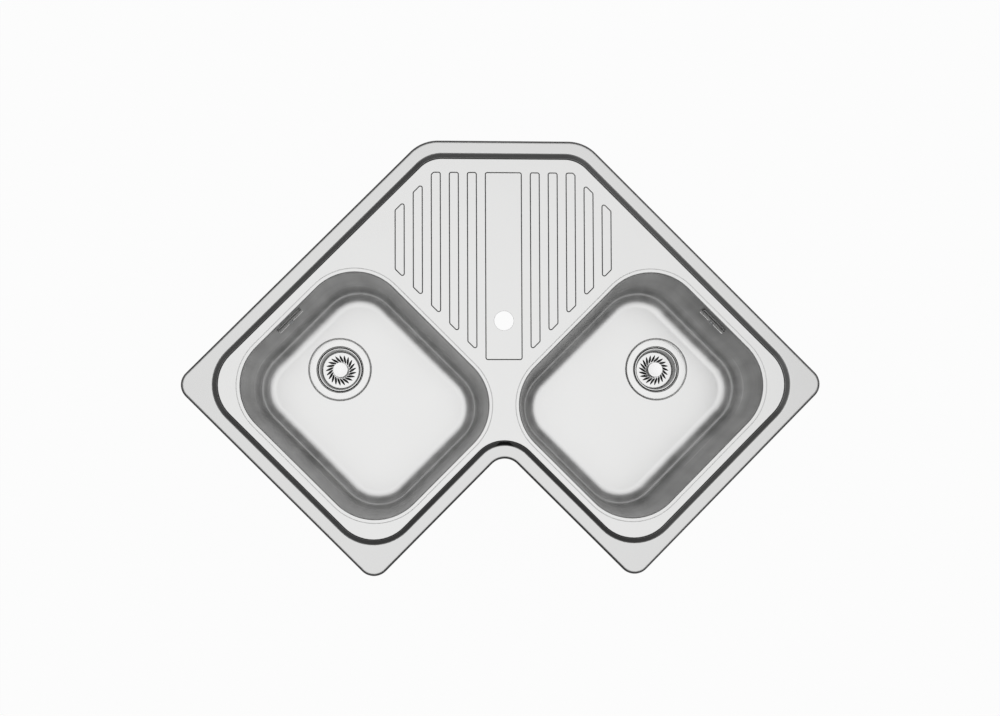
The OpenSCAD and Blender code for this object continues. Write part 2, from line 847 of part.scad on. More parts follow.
module overflow_screw() {
    foot = housing_face - housing_t - box_depth + box_wall;
    at_overflow() {
        translate([0, 0, cover_top]) cylinder(r = cover_head_r, h = cover_head_h);
        translate([0, 0, foot]) cylinder(r = cover_screw_r, h = cover_top - foot);
    }
}

module overflow_screws() {
    color("darkgray") both_sides() overflow_screw();
}

module overflow_gasket() {
    at_overflow() translate([0, 0, housing_face + seal_t * half]) difference() {
        cube([housing_len, housing_h, seal_t], center = true);
        cube([overflow_hole_len, overflow_hole_h, seal_t + over], center = true);
    }
}

module overflow_gaskets() {
    color("dimgray") both_sides() overflow_gasket();
}

module overflow_housing() {
    back = housing_face - housing_t - box_depth;
    box_foot = box_h * half;
    color("white") at_overflow() difference() {
        union() {
            difference() {
                union() {
                    translate([-housing_len * half, -housing_h * half, housing_face - housing_t])
                        cube([housing_len, housing_h, housing_t]);
                    translate([-box_len * half, -box_foot, back])
                        cube([box_len, box_h, box_depth + lap]);
                }
                translate([-box_len * half + box_wall, -box_foot + box_wall, back + box_wall])
                    cube([box_len - box_wall * 2, box_h - box_wall * 2, box_depth + housing_t + over]);
            }
            translate([0, 0, back]) cylinder(r = boss_r, h = box_depth);
            translate([0, box_foot - box_wall * half, -hose_axis_off])
                rotate([-right_angle, 0, 0])
                    cylinder(r = spout_collar_r, h = spout_collar_len + box_wall * half);
            translate([0, box_foot + spout_collar_len, -hose_axis_off])
                rotate([-right_angle, 0, 0]) cylinder(r = spout_r, h = spout_len);
        }
        translate([0, box_foot - box_wall - lap, -hose_axis_off]) rotate([-right_angle, 0, 0])
            cylinder(r = spout_bore_r, h = box_wall + spout_collar_len + spout_len + over);
        translate([0, 0, back + box_wall])
            cylinder(r = cover_screw_r + play, h = box_depth + over);
    }
}

// Route of the hose in the plane across its leg, as [y, z]: down the wall, round, and in
hose_down = [sin(wall_draft), -cos(wall_draft)];
hose_back = [cos(wall_draft), sin(wall_draft)];
hose_turn = right_angle - wall_draft;
hose_start = [overflow_y, overflow_z] + hose_down * (box_h * half + spout_collar_len)
    - hose_back * hose_axis_off;
hose_corner_run = (hose_start[1] - inlet_z) / cos(wall_draft);
hose_tangent = hose_bend_r * tan(hose_turn * half);
hose_corner = hose_start + hose_down * hose_corner_run;
hose_run_1 = hose_corner_run - hose_tangent;
hose_arc = hose_bend_r * hose_turn * PI / half_turn;
hose_run_2 = inlet_y - hose_corner[0] - hose_tangent;
hose_len = hose_run_1 + hose_arc + hose_run_2;
hose_centre = hose_start + hose_down * hose_run_1 + hose_back * hose_bend_r;
function hose_angle(s) = min(hose_turn, max(0, (s - hose_run_1) / hose_arc * hose_turn));
function hose_dir(s) = let (a = hose_angle(s) - hose_turn) [cos(a), sin(a)];
function hose_at(s) = s <= hose_run_1 ? hose_start + hose_down * s
    : s >= hose_run_1 + hose_arc ? hose_corner + [hose_tangent + s - hose_run_1 - hose_arc, 0]
    : hose_centre - left_of(hose_dir(s)) * hose_bend_r;

// One ring of the hose's skin, at a distance s along it
function hose_ring(s, r) = let (c = hose_at(s), n = left_of(hose_dir(s)))
    [for (k = [0:hose_sides - 1]) let (a = full_turn * k / hose_sides)
        [bowl_cx + r * cos(a), c[0] + n[0] * r * sin(a), c[1] + n[1] * r * sin(a)]];

module overflow_hose() {
    ribs = floor((hose_len - cuff_len * 2) / rib_pitch);
    step = (hose_len - cuff_len * 2) / ribs;
    skin = [[0, hose_r], [cuff_len - step * half, hose_r],
        for (i = [0:ribs - 1], e = [0, 1])
            [cuff_len + step * (i + e * half), e == 0 ? hose_root_r : hose_r],
        [hose_len - cuff_len, hose_root_r], [hose_len - cuff_len + step * half, hose_r],
        [hose_len, hose_r]];
    bore_rings = floor(hose_len / hose_r);
    bore = [for (i = [0:bore_rings]) [hose_len * (1 - i / bore_rings), hose_bore_r]];
    rings = concat(skin, bore);
    n = len(rings);
    points = [for (r = rings) each hose_ring(r[0], r[1])];
    color("lightgray") polyhedron(points, [for (i = [0:n - 1], k = [0:hose_sides - 1], t = [0, 1])
        let (j = (i + 1) % n, m = (k + 1) % hose_sides,
            a = i * hose_sides + k, b = i * hose_sides + m,
            c = j * hose_sides + m, d = j * hose_sides + k)
        t == 0 ? [a, b, c] : [a, c, d]]);
}

module hose_nut() {
    at_waste() translate([0, inlet_y - waste_y, inlet_z]) rotate([right_angle, 0, 0])
        tube(hose_nut_r, hose_r + seat_gap, hose_nut_len);
}

module hose_nuts() {
    color("white") both_sides() hose_nut();
}

// Couplings: the threaded end's face is at z = 0 with the thread above it and the pipe below
module coupling_nut() {
    difference() {
        translate([0, 0, -washer_t - collar_t - nut_down])
            cylinder(r = nut_r, h = nut_up + washer_t + collar_t + nut_down);
        translate([0, 0, -washer_t - collar_t])
            cylinder(r = thread_r + nut_fit, h = nut_up + washer_t + collar_t + over);
        translate([0, 0, -washer_t - collar_t - nut_down - over])
            cylinder(r = pipe_r + nut_fit, h = nut_down + over * 2);
    }
}

module coupling_washer() {
    translate([0, 0, -washer_t]) tube(thread_r, pipe_r - pipe_wall, washer_t);
}

// A straight pipe of length h that ends in a collar, below the washer
module pipe_end(h) {
    collar_z = -washer_t - collar_t;
    difference() {
        union() {
            translate([0, 0, collar_z]) cylinder(r = thread_r, h = collar_t);
            translate([0, 0, collar_z - h]) cylinder(r = pipe_r, h = h + collar_t * half);
        }
        translate([0, 0, collar_z - h - over])
            cylinder(r = pipe_r - pipe_wall, h = h + collar_t + over * 2);
    }
}

module at_branch(along, height) {
    at_waste() translate([0, 0, height]) rotate(right_angle + right_angle * half)
        translate([along, 0, 0]) rotate([0, right_angle, 0]) children();
}

module at_tee(height) {
    translate([tee_x, tee_x, height]) children();
}

module at_port(along) {
    at_tee(port_z) rotate(port_heading) translate([along, 0, 0])
        rotate([0, -right_angle, 0]) children();
}

// The six couplings: under each cup, at both ends of the tee, above and behind the trap
module at_couplings() {
    both_sides() at_waste() translate([0, 0, cup_end_z]) children();
    at_branch(run_half - tee_half, run_z) children();
    right_half() at_branch(run_half - tee_half, run_z) children();
    at_tee(tee_end_z - washer_t) mirror([0, 0, 1]) children();
    at_port(trap_port_len) children();
}

module pipe_nuts() {
    color("white") at_couplings() coupling_nut();
}

module pipe_washers() {
    color("dimgray") at_couplings() coupling_washer();
}

module branch_pipe() {
    inner = pipe_r - pipe_wall;
    collar_z = cup_end_z - washer_t - collar_t;
    run = run_half - tee_half - washer_t - collar_t - pipe_bend_r;
    color("whitesmoke") {
        at_waste() translate([0, 0, cup_end_z]) pipe_end(drop_len);
        at_waste() translate([0, 0, collar_z - drop_len]) rotate(right_angle + right_angle * half)
            quarter_bend(pipe_r, inner, pipe_bend_r);
        at_branch(run_half - tee_half, run_z) pipe_end(run);
    }
}

module tee() {
    bore = thread_r - thread_wall;
    tail_z = tee_end_z + collar_t;
    color("whitesmoke") at_tee(run_z) difference() {
        union() {
            rotate(-right_angle * half) rotate([0, right_angle, 0]) translate([0, 0, -tee_half])
                cylinder(r = thread_r, h = tee_half * 2);
            translate([0, 0, tail_z - run_z]) cylinder(r = pipe_r, h = run_z - tail_z);
            translate([0, 0, tee_end_z - run_z]) cylinder(r = thread_r, h = collar_t);
        }
        rotate(-right_angle * half) rotate([0, right_angle, 0])
            translate([0, 0, -tee_half - over]) cylinder(r = bore, h = (tee_half + over) * 2);
        translate([0, 0, tee_end_z - run_z - over]) cylinder(r = bore, h = run_z - tee_end_z + over);
    }
}

module trap_head() {
    bore = thread_r - thread_wall;
    inner = trap_thread_r - trap_wall;
    base_z = trap_z - trap_head_h;
    color("whitesmoke") difference() {
        union() {
            at_tee(trap_z) cylinder(r = thread_r, h = trap_neck);
            at_tee(base_z) cylinder(r = trap_head_r, h = trap_head_h);
            at_tee(base_z - trap_thread_h) cylinder(r = trap_thread_r, h = trap_thread_h);
            at_port(trap_port_len) cylinder(r = thread_r, h = trap_port_len);
        }
        at_port(trap_port_len) translate([0, 0, -over])
            cylinder(r = bore, h = trap_port_len + over - dip_r - dip_wall);
        at_tee(base_z - trap_thread_h - over)
            difference() {
                cylinder(r = inner, h = trap_head_h + trap_thread_h + over - trap_wall);
                cylinder(r = dip_r, h = trap_head_h + trap_thread_h + over);
            }
        at_tee(base_z - trap_thread_h - over)
            cylinder(r = dip_r - dip_wall, h = trap_head_h + trap_thread_h + trap_neck + over * 2);
    }
    color("whitesmoke") at_tee(trap_floor_z + trap_wall + dip_clear)
        tube(dip_r, dip_r - dip_wall, base_z - trap_thread_h - trap_floor_z - trap_wall - dip_clear);
}

module trap_cup() {
    rim_z = trap_z - trap_head_h - seal_t;
    color("white") at_tee(trap_floor_z) difference() {
        cylinder(r = trap_cup_r, h = rim_z - trap_floor_z);
        translate([0, 0, trap_wall])
            cylinder(r = trap_thread_r + nut_fit, h = rim_z - trap_floor_z);
    }
}

module trap_seal() {
    color("dimgray") at_tee(trap_z - trap_head_h - seal_t)
        tube(trap_head_r, trap_thread_r + nut_fit, seal_t);
}

module outlet_pipe() {
    color("whitesmoke") at_port(trap_port_len) difference() {
        pipe_end(outlet_len);
        translate([0, 0, -washer_t - collar_t - neck_len])
            tube(pipe_r + lap, pipe_r - neck_in, neck_len);
    }
}

sink_top();
bowl();  // bowl_left
right_side() bowl();  // bowl_right
rim_seal();
clamp_brackets();
clamp_screw(0);  // clamp_screw_1
clamp_screw(1);  // clamp_screw_2
clamp_screw(2);  // clamp_screw_3
clamp_screw(3);  // clamp_screw_4
clamp_screw(4);  // clamp_screw_5
clamp_screw(5);  // clamp_screw_6
clamp_screw(6);  // clamp_screw_7
clamp_screw(7);  // clamp_screw_8
clamp_claw(0);  // clamp_claw_1
clamp_claw(1);  // clamp_claw_2
clamp_claw(2);  // clamp_claw_3
clamp_claw(3);  // clamp_claw_4
clamp_claw(4);  // clamp_claw_5
clamp_claw(5);  // clamp_claw_6
clamp_claw(6);  // clamp_claw_7
clamp_claw(7);  // clamp_claw_8
sound_pad();  // sound_pad_left
right_side() sound_pad();  // sound_pad_right
sound_pad_drainer();
flange();  // flange_left
right_side() flange();  // flange_right
flange_seal();  // flange_seal_left
right_side() flange_seal();  // flange_seal_right
waste_cup();  // waste_cup_left
right_side() waste_cup();  // waste_cup_right
cup_seal();  // cup_seal_left
right_side() cup_seal();  // cup_seal_right
fixing_screws();
stopper_stem();  // stopper_stem_left
right_side() stopper_stem();  // stopper_stem_right
stopper_seal();  // stopper_seal_left
right_side() stopper_seal();  // stopper_seal_right
basket();  // basket_left
right_half() basket();  // basket_right
basket_knob();  // basket_knob_left
right_side() basket_knob();  // basket_knob_right
overflow_cover();  // overflow_cover_left
right_side() overflow_cover();  // overflow_cover_right
overflow_screws();
overflow_gaskets();
overflow_housing();  // overflow_housing_left
right_side() overflow_housing();  // overflow_housing_right
overflow_hose();  // overflow_hose_left
right_side() overflow_hose();  // overflow_hose_right
hose_nuts();
pipe_nuts();
pipe_washers();
branch_pipe();  // branch_pipe_left
right_half() branch_pipe();  // branch_pipe_right
tee();
trap_head();
trap_cup();
trap_seal();
outlet_pipe();
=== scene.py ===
# Corner kitchen sink: looks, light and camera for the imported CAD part.
import math

import bmesh
import bpy
from mathutils import Euler, Matrix, Vector


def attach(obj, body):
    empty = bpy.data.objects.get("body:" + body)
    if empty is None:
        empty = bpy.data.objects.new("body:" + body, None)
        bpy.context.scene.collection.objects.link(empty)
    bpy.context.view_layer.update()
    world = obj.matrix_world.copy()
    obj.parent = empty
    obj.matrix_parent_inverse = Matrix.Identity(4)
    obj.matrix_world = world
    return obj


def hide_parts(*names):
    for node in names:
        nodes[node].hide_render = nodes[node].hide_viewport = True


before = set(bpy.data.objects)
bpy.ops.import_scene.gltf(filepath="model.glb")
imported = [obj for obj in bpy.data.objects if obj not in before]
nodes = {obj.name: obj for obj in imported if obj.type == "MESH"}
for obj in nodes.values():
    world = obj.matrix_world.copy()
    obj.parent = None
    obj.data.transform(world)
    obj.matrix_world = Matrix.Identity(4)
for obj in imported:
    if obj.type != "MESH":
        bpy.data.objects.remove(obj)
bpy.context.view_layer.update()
print("stage: frame loaded,", len(nodes), "CAD nodes")

mm = 0.001
quarter = math.radians(90)

# places that several pieces share, in millimetres from the tap hole, x along the left leg
place = {
    "wall": -334, "bowlMiddle": 271, "wasteRow": -161.5, "deck": -1, "bowlFloor": -161,
    "recess": -164, "teeX": 54.75, "overflowY": -275.41, "overflowZ": -29, "draft": math.radians(7),
}
shift = Matrix.Translation
wasteLeft = Vector((place["bowlMiddle"], place["wasteRow"], 0))
wasteRight = Vector((place["wasteRow"], place["bowlMiddle"], 0))
toRight = shift((0, 2 * place["bowlMiddle"], 0)) @ Matrix.Rotation(-quarter, 4, "Z")
swapXY = Matrix(((0, 1, 0, 0), (1, 0, 0, 0), (0, 0, 1, 0), (0, 0, 0, 1)))


class Value:
    # an output of a node; sums written with it add Math nodes
    def __init__(self, nodeTree, socket):
        self.nodeTree, self.socket = nodeTree, socket

    def maths(self, operation, first, second):
        return maths(self.nodeTree, operation, first, second)

    def __add__(self, other):
        return self.maths("ADD", self, other)

    def __radd__(self, other):
        return self.maths("ADD", other, self)

    def __sub__(self, other):
        return self.maths("SUBTRACT", self, other)

    def __rsub__(self, other):
        return self.maths("SUBTRACT", other, self)

    def __mul__(self, other):
        return self.maths("MULTIPLY", self, other)

    def __rmul__(self, other):
        return self.maths("MULTIPLY", other, self)

    def __truediv__(self, other):
        return self.maths("DIVIDE", self, other)


class NodeTree:
    def __init__(self, tree):
        self.tree = tree

    def add(self, kind, settings=None, inputs=None, out=0):
        node = self.tree.nodes.new(kind)
        for name, value in (settings or {}).items():
            if name == "stops":
                ramp = node.color_ramp
                while len(ramp.elements) < len(value):
                    ramp.elements.new(0.5)
                for element, (at, grey) in zip(ramp.elements, value):
                    element.position, element.color = at, (grey, grey, grey, 1)
            else:
                setattr(node, name, value)
        for name, value in (inputs or {}).items():
            if isinstance(value, Value):
                self.tree.links.new(value.socket, node.inputs[name])
            else:
                node.inputs[name].default_value = value
        return Value(self, node.outputs[out]) if node.outputs else None


def maths(tree, operation, first, second=0.0):
    return tree.add("ShaderNodeMath", {"operation": operation}, {0: first, 1: second})


# materials

def startMaterial(name):
    material = bpy.data.materials.new(name)
    material.use_nodes = True
    material.node_tree.nodes.clear()
    return material, NodeTree(material.node_tree)


def startFinish(name):
    # the third value is the place on the object
    material, tree = startMaterial(name)
    return material, tree, tree.add("ShaderNodeTexCoord", out=3)


def endFinish(material, tree, inputs):
    surface = tree.add("ShaderNodeBsdfPrincipled", None, inputs)
    tree.add("ShaderNodeOutputMaterial", None, {"Surface": surface})
    return material


def axisOf(tree, where, axis):
    return tree.add("ShaderNodeSeparateXYZ", None, {0: where}, out=axis)


def speckle(tree, where, size, detail=2.0):
    # noise between 0 and 1, in lumps of about size millimetres
    return tree.add("ShaderNodeTexNoise", None, {"Vector": where, "Scale": 1 / (size * mm), "Detail": detail})


def stretched(tree, where, factors):
    return tree.add("ShaderNodeVectorMath", {"operation": "MULTIPLY"}, {0: where, 1: factors})


def held(tree, value, low, high):
    # 0 below low, 1 above high
    return tree.add("ShaderNodeMapRange", {"clamp": True}, {"Value": value, "From Min": low, "From Max": high})


def band(tree, value, span):
    # the same for two limits in millimetres
    return held(tree, value, span[0] * mm, span[1] * mm)


def nearTo(tree, value, middle, reach):
    # 1 at the middle, 0 from reach outwards
    off = maths(tree, "ABSOLUTE", value - middle)
    return tree.add("ShaderNodeMapRange", {"interpolation_type": "SMOOTHSTEP"},
                    {"Value": off, "From Min": reach, "From Max": 0.0})


def greyOf(tree, value, tint):
    return tree.add("ShaderNodeMix", {"data_type": "RGBA"}, {0: value, 6: (0, 0, 0, 1), 7: (*tint, 1)}, out=2)


def bump(tree, height, depth, strength):
    return tree.add("ShaderNodeBump", None, {"Strength": strength, "Distance": depth * mm, "Height": height})


# the pressed top's plan, in millimetres from the wall corner
topSize = {
    "leg": 830, "width": 500, "cut": 208, "rim": 6, "border": 23, "stepWide": 10, "stepRound": 3,
    "outerRadii": (72, 30, 32), "stepRadii": (65, 84, 55), "sheet": 1, "tapHole": 17.5,
}

# shares of the base colour, and the heights or distances where each begins and ends; the slope, rib side and lip shares
# are painted shade on the step's slope, the rib sides and the outer edge, and the raised rim top is a little darker
steelLook = {
    "tint": (1.0, 1.0, 0.995), "base": 0.80, "raised": 0.91, "slope": 0.30, "ribSideShade": 0.14, "lip": 0.05,
    "rough": 0.30, "grain": 0.6, "cloud": 70, "raisedAt": (4.6, 5.6), "slopeFoot": (0.56, 0.7),
    "slopeTop": (4.4, 5.7), "ribFoot": (-0.95, -0.75), "ribTop": (0.25, 0.45), "lipTo": (17, 19),
}
# the wall levels are painted shade, darkest at the top; the line levels are painted highlights, and the streak and
# patch shares are painted reflections
wallLook = {
    "floor": 0.83, "upper": 0.25, "lower": 0.52, "foot": 0.66, "line": 1.0, "lineAt": -146.5, "lineWide": 4.5,
    "upperLineAt": -95, "upperLineWide": 5, "lineGap": 3.4, "rough": 0.32, "reflectionStreak": 30, "reflectionPatch": 75,
    "floorEnd": (-160.99, -157.0), "edgeStart": (-4.5, -2), "lowerAt": (-60, -122), "footAt": (-132, -142),
    "plain": 0.58, "reflectionStreakShare": 0.34, "reflectionPatchShare": 0.3, "drawn": 0.3,
}


def fromOutline(tree, where):
    # how far a point of the top lies inside the sink's straight edges, in metres
    def least(a, b):
        return maths(tree, "MINIMUM", a, b)

    t, wall = topSize, place["wall"]
    x, y = (axisOf(tree, where, axis) - wall * mm for axis in (0, 1))
    notch = maths(tree, "MAXIMUM", t["width"] * mm - x, t["width"] * mm - y)
    cut = (x + y - t["cut"] * mm) * (1 / math.sqrt(2))
    ends = least(t["leg"] * mm - x, t["leg"] * mm - y)
    return least(least(least(x, y), ends), least(notch, cut))


def pressedSteel():
    material, tree, where = startFinish("satinPressedSteel")
    look = steelLook
    height = axisOf(tree, where, 2)
    cloud = speckle(tree, where, look["cloud"], 3.0)
    grain = speckle(tree, where, look["grain"])
    raised = band(tree, height, look["raisedAt"])
    # painted shade: the step's slope, the sides of the ribs and the outer lip are darkened in the base colour
    slope = band(tree, height, look["slopeFoot"]) * (1 - band(tree, height, look["slopeTop"]))
    ribSideShade = band(tree, height, look["ribFoot"]) * (1 - band(tree, height, look["ribTop"]))
    lip = 1 - band(tree, fromOutline(tree, where), look["lipTo"])
    slopeShade = look["slope"] - lip * (look["slope"] - look["lip"])
    shade = (1 - raised * (1 - look["raised"])) * (1 - slope * (1 - slopeShade))
    shade = shade * (1 - ribSideShade * (1 - look["ribSideShade"]))
    level = look["base"] * shade * (0.985 + cloud * 0.03)
    return endFinish(material, tree, {
        "Base Color": greyOf(tree, level, look["tint"]), "Metallic": 1.0,
        "Roughness": look["rough"] - 0.03 + cloud * 0.06 + grain * 0.02,
        "Normal": bump(tree, grain, 0.02, 0.35),
    })


def bowlSteel():
    # the floor is as bright as the deck; the drawn walls are darker by painted shade, with two painted highlight lines
    # round them and painted reflection streaks and patches
    material, tree, where = startFinish("drawnBowlSteel")
    look = wallLook
    height = axisOf(tree, where, 2)
    cloud = speckle(tree, where, steelLook["cloud"], 3.0)
    grain = speckle(tree, where, steelLook["grain"])
    # painted reflection streaks and patches on the walls
    reflectionStreak = held(tree, speckle(tree, stretched(tree, where, (1, 1, 0.12)), look["reflectionStreak"], 4.0), 0.3, 0.7)
    reflectionPatch = held(tree, speckle(tree, stretched(tree, where, (1, 1, 0.5)), look["reflectionPatch"], 2.0), 0.35, 0.65)
    drawn = speckle(tree, stretched(tree, where, (0.03, 0.03, 1)), look["lineGap"], 4.0)
    pale = maths(tree, "MAXIMUM", 1 - band(tree, height, look["floorEnd"]), band(tree, height, look["edgeStart"]))
    lower = band(tree, height, look["lowerAt"])
    foot = band(tree, height, look["footAt"])
    # two painted highlight lines round the walls
    line = nearTo(tree, height, look["lineAt"] * mm, look["lineWide"] * mm)
    upperHighlight = nearTo(tree, height + reflectionStreak * 0.0015, look["upperLineAt"] * mm, look["upperLineWide"] * mm)
    # painted shade: the walls are darkest at the top and lighter towards the foot
    wall = look["upper"] + lower * (look["lower"] - look["upper"]) + foot * (look["foot"] - look["lower"])
    wall = wall * (look["plain"] + reflectionStreak * look["reflectionStreakShare"] + reflectionPatch * look["reflectionPatchShare"] + drawn * look["drawn"])
    wall = wall + line * (look["line"] - wall) * (0.75 + reflectionStreak * 0.25) + upperHighlight * reflectionPatch * 0.16
    level = wall + pale * (look["floor"] - wall)
    dull = 0.1 + lower * 0.35 + line * 0.6  # less metallic lower down and most on the painted highlight line, so that these take the lamp's light as well; scuffed steel scatters light, the more the deeper the draw
    return endFinish(material, tree, {
        "Base Color": greyOf(tree, level * (0.985 + cloud * 0.03), steelLook["tint"]),
        "Metallic": 1 - dull * (1 - pale), "Roughness": look["rough"] - 0.04 + cloud * 0.06,
        "Normal": bump(tree, grain * 0.3 + drawn * (1 - pale), 0.08, 0.5),
    })


def turnedSteel(name, base, rough, ring, turned=0.0, paintedShadeBand=None):
    # polished or turned steel with a little cloud; painted shade makes it darker between two heights
    material, tree, where = startFinish(name)
    cloud = speckle(tree, where, 9, 3.0)
    grain = speckle(tree, where, ring)
    shade = 1.0
    if paintedShadeBand:
        low, high, left = paintedShadeBand
        height, soft = axisOf(tree, where, 2), 0.8
        above = band(tree, height, (low - soft, low + soft))
        inside = above * (1 - band(tree, height, (high - soft, high + soft)))
        shade = 1 - inside * (1 - left)
    return endFinish(material, tree, {
        "Base Color": greyOf(tree, shade * (0.96 + cloud * 0.08) * base, steelLook["tint"]), "Metallic": 1.0,
        "Roughness": rough - 0.02 + cloud * 0.05, "Anisotropic": turned,
        "Normal": bump(tree, grain, 0.015, 0.3),
    })


def zincSteel(name, base, pitch=0.0):
    # galvanised steel with faint spangle; screws also get thread lines along their height
    material, tree, where = startFinish(name)
    spangle = tree.add("ShaderNodeTexVoronoi", None, {"Vector": where, "Scale": 260.0}, out=1)
    tone = axisOf(tree, spangle, 0)
    grain = speckle(tree, where, 0.8)
    height = grain * 0.3
    if pitch:
        wave = maths(tree, "SINE", axisOf(tree, where, 2) * (2 * math.pi / (pitch * mm)))
        height = wave * 0.5 + height
    return endFinish(material, tree, {
        "Base Color": greyOf(tree, base * (0.88 + tone * 0.2), (0.97, 0.985, 1.0)), "Metallic": 1.0,
        "Roughness": 0.34 + tone * 0.12, "Normal": bump(tree, height, *((0.25, 0.7) if pitch else (0.03, 0.3))),
    })


def rubber(name, grey, rough=0.75, pore=0.9):
    material, tree, where = startFinish(name)
    pores = speckle(tree, where, pore, 3.0)
    bloom = speckle(tree, where, 18, 3.0)
    return endFinish(material, tree, {
        "Base Color": greyOf(tree, grey * (0.8 + bloom * 0.3 + pores * 0.1), (1.0, 1.0, 1.0)),
        "Roughness": rough - 0.1 + pores * 0.2, "Normal": bump(tree, pores, 0.12, 0.6),
    })


def bitumen():
    material, tree, where = startFinish("embossedBitumenPad")
    cells = tree.add("ShaderNodeTexVoronoi", {"feature": "DISTANCE_TO_EDGE"}, {"Vector": where, "Scale": 150.0})
    grit = speckle(tree, where, 0.7, 3.0)
    return endFinish(material, tree, {
        "Base Color": greyOf(tree, 0.045 + grit * 0.03, (1.0, 0.99, 0.97)),
        "Roughness": 0.62 + grit * 0.2,
        "Normal": bump(tree, held(tree, cells, 0.02, 0.12) + grit * 0.25, 0.5, 0.8),
    })


def plastic(name, tint, grey, rough=0.38, coat=0.15):
    # moulded plastic: faint flow marks and a fine spark-eroded grain
    material, tree, where = startFinish(name)
    flow = speckle(tree, where, 32, 3.0)
    grain = speckle(tree, where, 0.5)
    return endFinish(material, tree, {
        "Base Color": greyOf(tree, grey * (0.965 + flow * 0.05), tint),
        "Roughness": rough - 0.05 + grain * 0.08 + flow * 0.04, "Coat Weight": coat, "Coat Roughness": 0.2,
        "Normal": bump(tree, grain, 0.03, 0.35),
    })


finish = {
    "pressed_steel": pressedSteel(),
    "bowl": bowlSteel(),
    "foam_seal": rubber("closedCellFoam", 0.05, 0.85, 1.4),
    "zinc_steel": zincSteel("zincPlatedSteel", 0.55),
    "screw_steel": zincSteel("zincPlatedScrew", 0.62, 0.8),
    "bitumen_pad": bitumen(),
    "waste_steel": turnedSteel("polishedWasteSteel", 0.80, 0.17, 0.7),
    # painted shade in the flange's dish and on the basket's wall, between two heights
    "flange": turnedSteel("wasteFlangeSteel", 0.80, 0.17, 0.7, paintedShadeBand=(-210, -170, 0.12)),
    "basket": turnedSteel("brightBasketSteel", 0.86, 0.24, 0.7, paintedShadeBand=(-187.5, -168.6, 0.3)),
    "knob_steel": turnedSteel("turnedKnobSteel", 0.92, 0.24, 0.4, 0.75),
    "seal_rubber": rubber("blackSealRubber", 0.028),
    "stem_plastic": plastic("darkStemPlastic", (1.0, 1.0, 1.0), 0.018, 0.6, 0.0),
    "white_plastic": plastic("whiteMouldedPlastic", (1.0, 0.995, 0.98), 0.76),
    "nut_plastic": plastic("whiteNutPlastic", (1.0, 0.995, 0.975), 0.70, 0.34),
    "hose_plastic": plastic("greyHosePlastic", (0.97, 0.985, 1.0), 0.52, 0.42, 0.05),
}
print("stage: materials,", len(finish))


# shapes

def roundedLoop(corners, radii, height, steps=14):
    # a closed outline, anticlockwise seen from above, with the same number of points for any radii
    points = []
    count = len(corners)
    for i in range(count):
        before, here, after = (Vector(corners[(i + k) % count]) for k in (-1, 0, 1))
        into, away = (here - before).normalized(), (after - here).normalized()
        turn = math.atan2(into.x * away.y - into.y * away.x, into.dot(away))
        reach = radii[i] * math.tan(abs(turn) / 2)
        side = Vector((-into.y, into.x)) * math.copysign(1, turn)
        centre = here - into * reach + side * radii[i]
        for k in range(steps + 1):
            arm = -side
            arm.rotate(Matrix.Rotation(turn * k / steps, 2))
            points.append((*(centre + arm * radii[i]), height))
    return points


def circleLoop(centre, radius, height, steps=96):
    return [(centre[0] + radius * math.cos(2 * math.pi * k / steps),
             centre[1] + radius * math.sin(2 * math.pi * k / steps), height) for k in range(steps)]


def insetCorners(corners, inset):
    # a convex outline with each side moved in
    lines = []
    for a, b in zip(corners, corners[1:] + corners[:1]):
        along = (Vector(b) - Vector(a)).normalized()
        inward = Vector((-along.y, along.x))
        lines.append((inward, inward.dot(Vector(a)) + inset))
    moved = []
    for (n1, d1), (n2, d2) in zip(lines[-1:] + lines[:-1], lines):
        cross = n1.x * n2.y - n1.y * n2.x
        moved.append(((d1 * n2.y - d2 * n1.y) / cross, (n1.x * d2 - n2.x * d1) / cross))
    return moved


def keepSide(corners, point, inward):
    # the part of a convex outline on one side of a line
    kept = []
    for a, b in zip(corners, corners[1:] + corners[:1]):
        da = (Vector(a) - Vector(point)).dot(Vector(inward))
        db = (Vector(b) - Vector(point)).dot(Vector(inward))
        if da >= 0:
            kept.append(tuple(a))
        if (da > 0 > db) or (da < 0 < db):
            kept.append(tuple(Vector(a).lerp(Vector(b), da / (da - db))))
    return kept


class Pressing:
    # one sheet of metal or plastic, built up in millimetres
    def __init__(self):
        self.mesh = bmesh.new()

    def loop(self, points):
        return [self.mesh.verts.new(p) for p in points]

    def strip(self, lower, upper, closed=True):
        count = len(lower)
        for i in range(count if closed else count - 1):
            j = (i + 1) % count
            self.mesh.faces.new((lower[i], lower[j], upper[j], upper[i]))

    def strips(self, loops):
        made = [self.loop(points) for points in loops]
        for lower, upper in zip(made, made[1:]):
            self.strip(lower, upper)
        return made

    def flat(self, loops):
        edges = []
        for points in loops:
            for a, b in zip(points, points[1:] + points[:1]):
                edges.append(self.mesh.edges.get((a, b)) or self.mesh.edges.new((a, b)))
        bmesh.ops.triangle_fill(self.mesh, use_beauty=True, edges=edges, normal=(0, 0, 1))

    def outward(self):
        bmesh.ops.recalc_face_normals(self.mesh, faces=self.mesh.faces)

    def facing(self, wanted):
        # all faces the same way round, with the largest one towards wanted
        self.outward()
        largest = max(self.mesh.faces, key=lambda f: f.calc_area())
        if largest.normal.dot(Vector(wanted)) < 0:
            bmesh.ops.reverse_faces(self.mesh, faces=self.mesh.faces)

    def piece(self, name, material):
        made = bpy.data.meshes.new(name)
        self.mesh.transform(Matrix.Scale(mm, 4))
        self.mesh.to_mesh(made)
        self.mesh.free()
        made.materials.append(material)
        return addObject(name, made)


def addObject(name, data):
    piece = bpy.data.objects.new(name, data)
    bpy.context.scene.collection.objects.link(piece)
    return piece


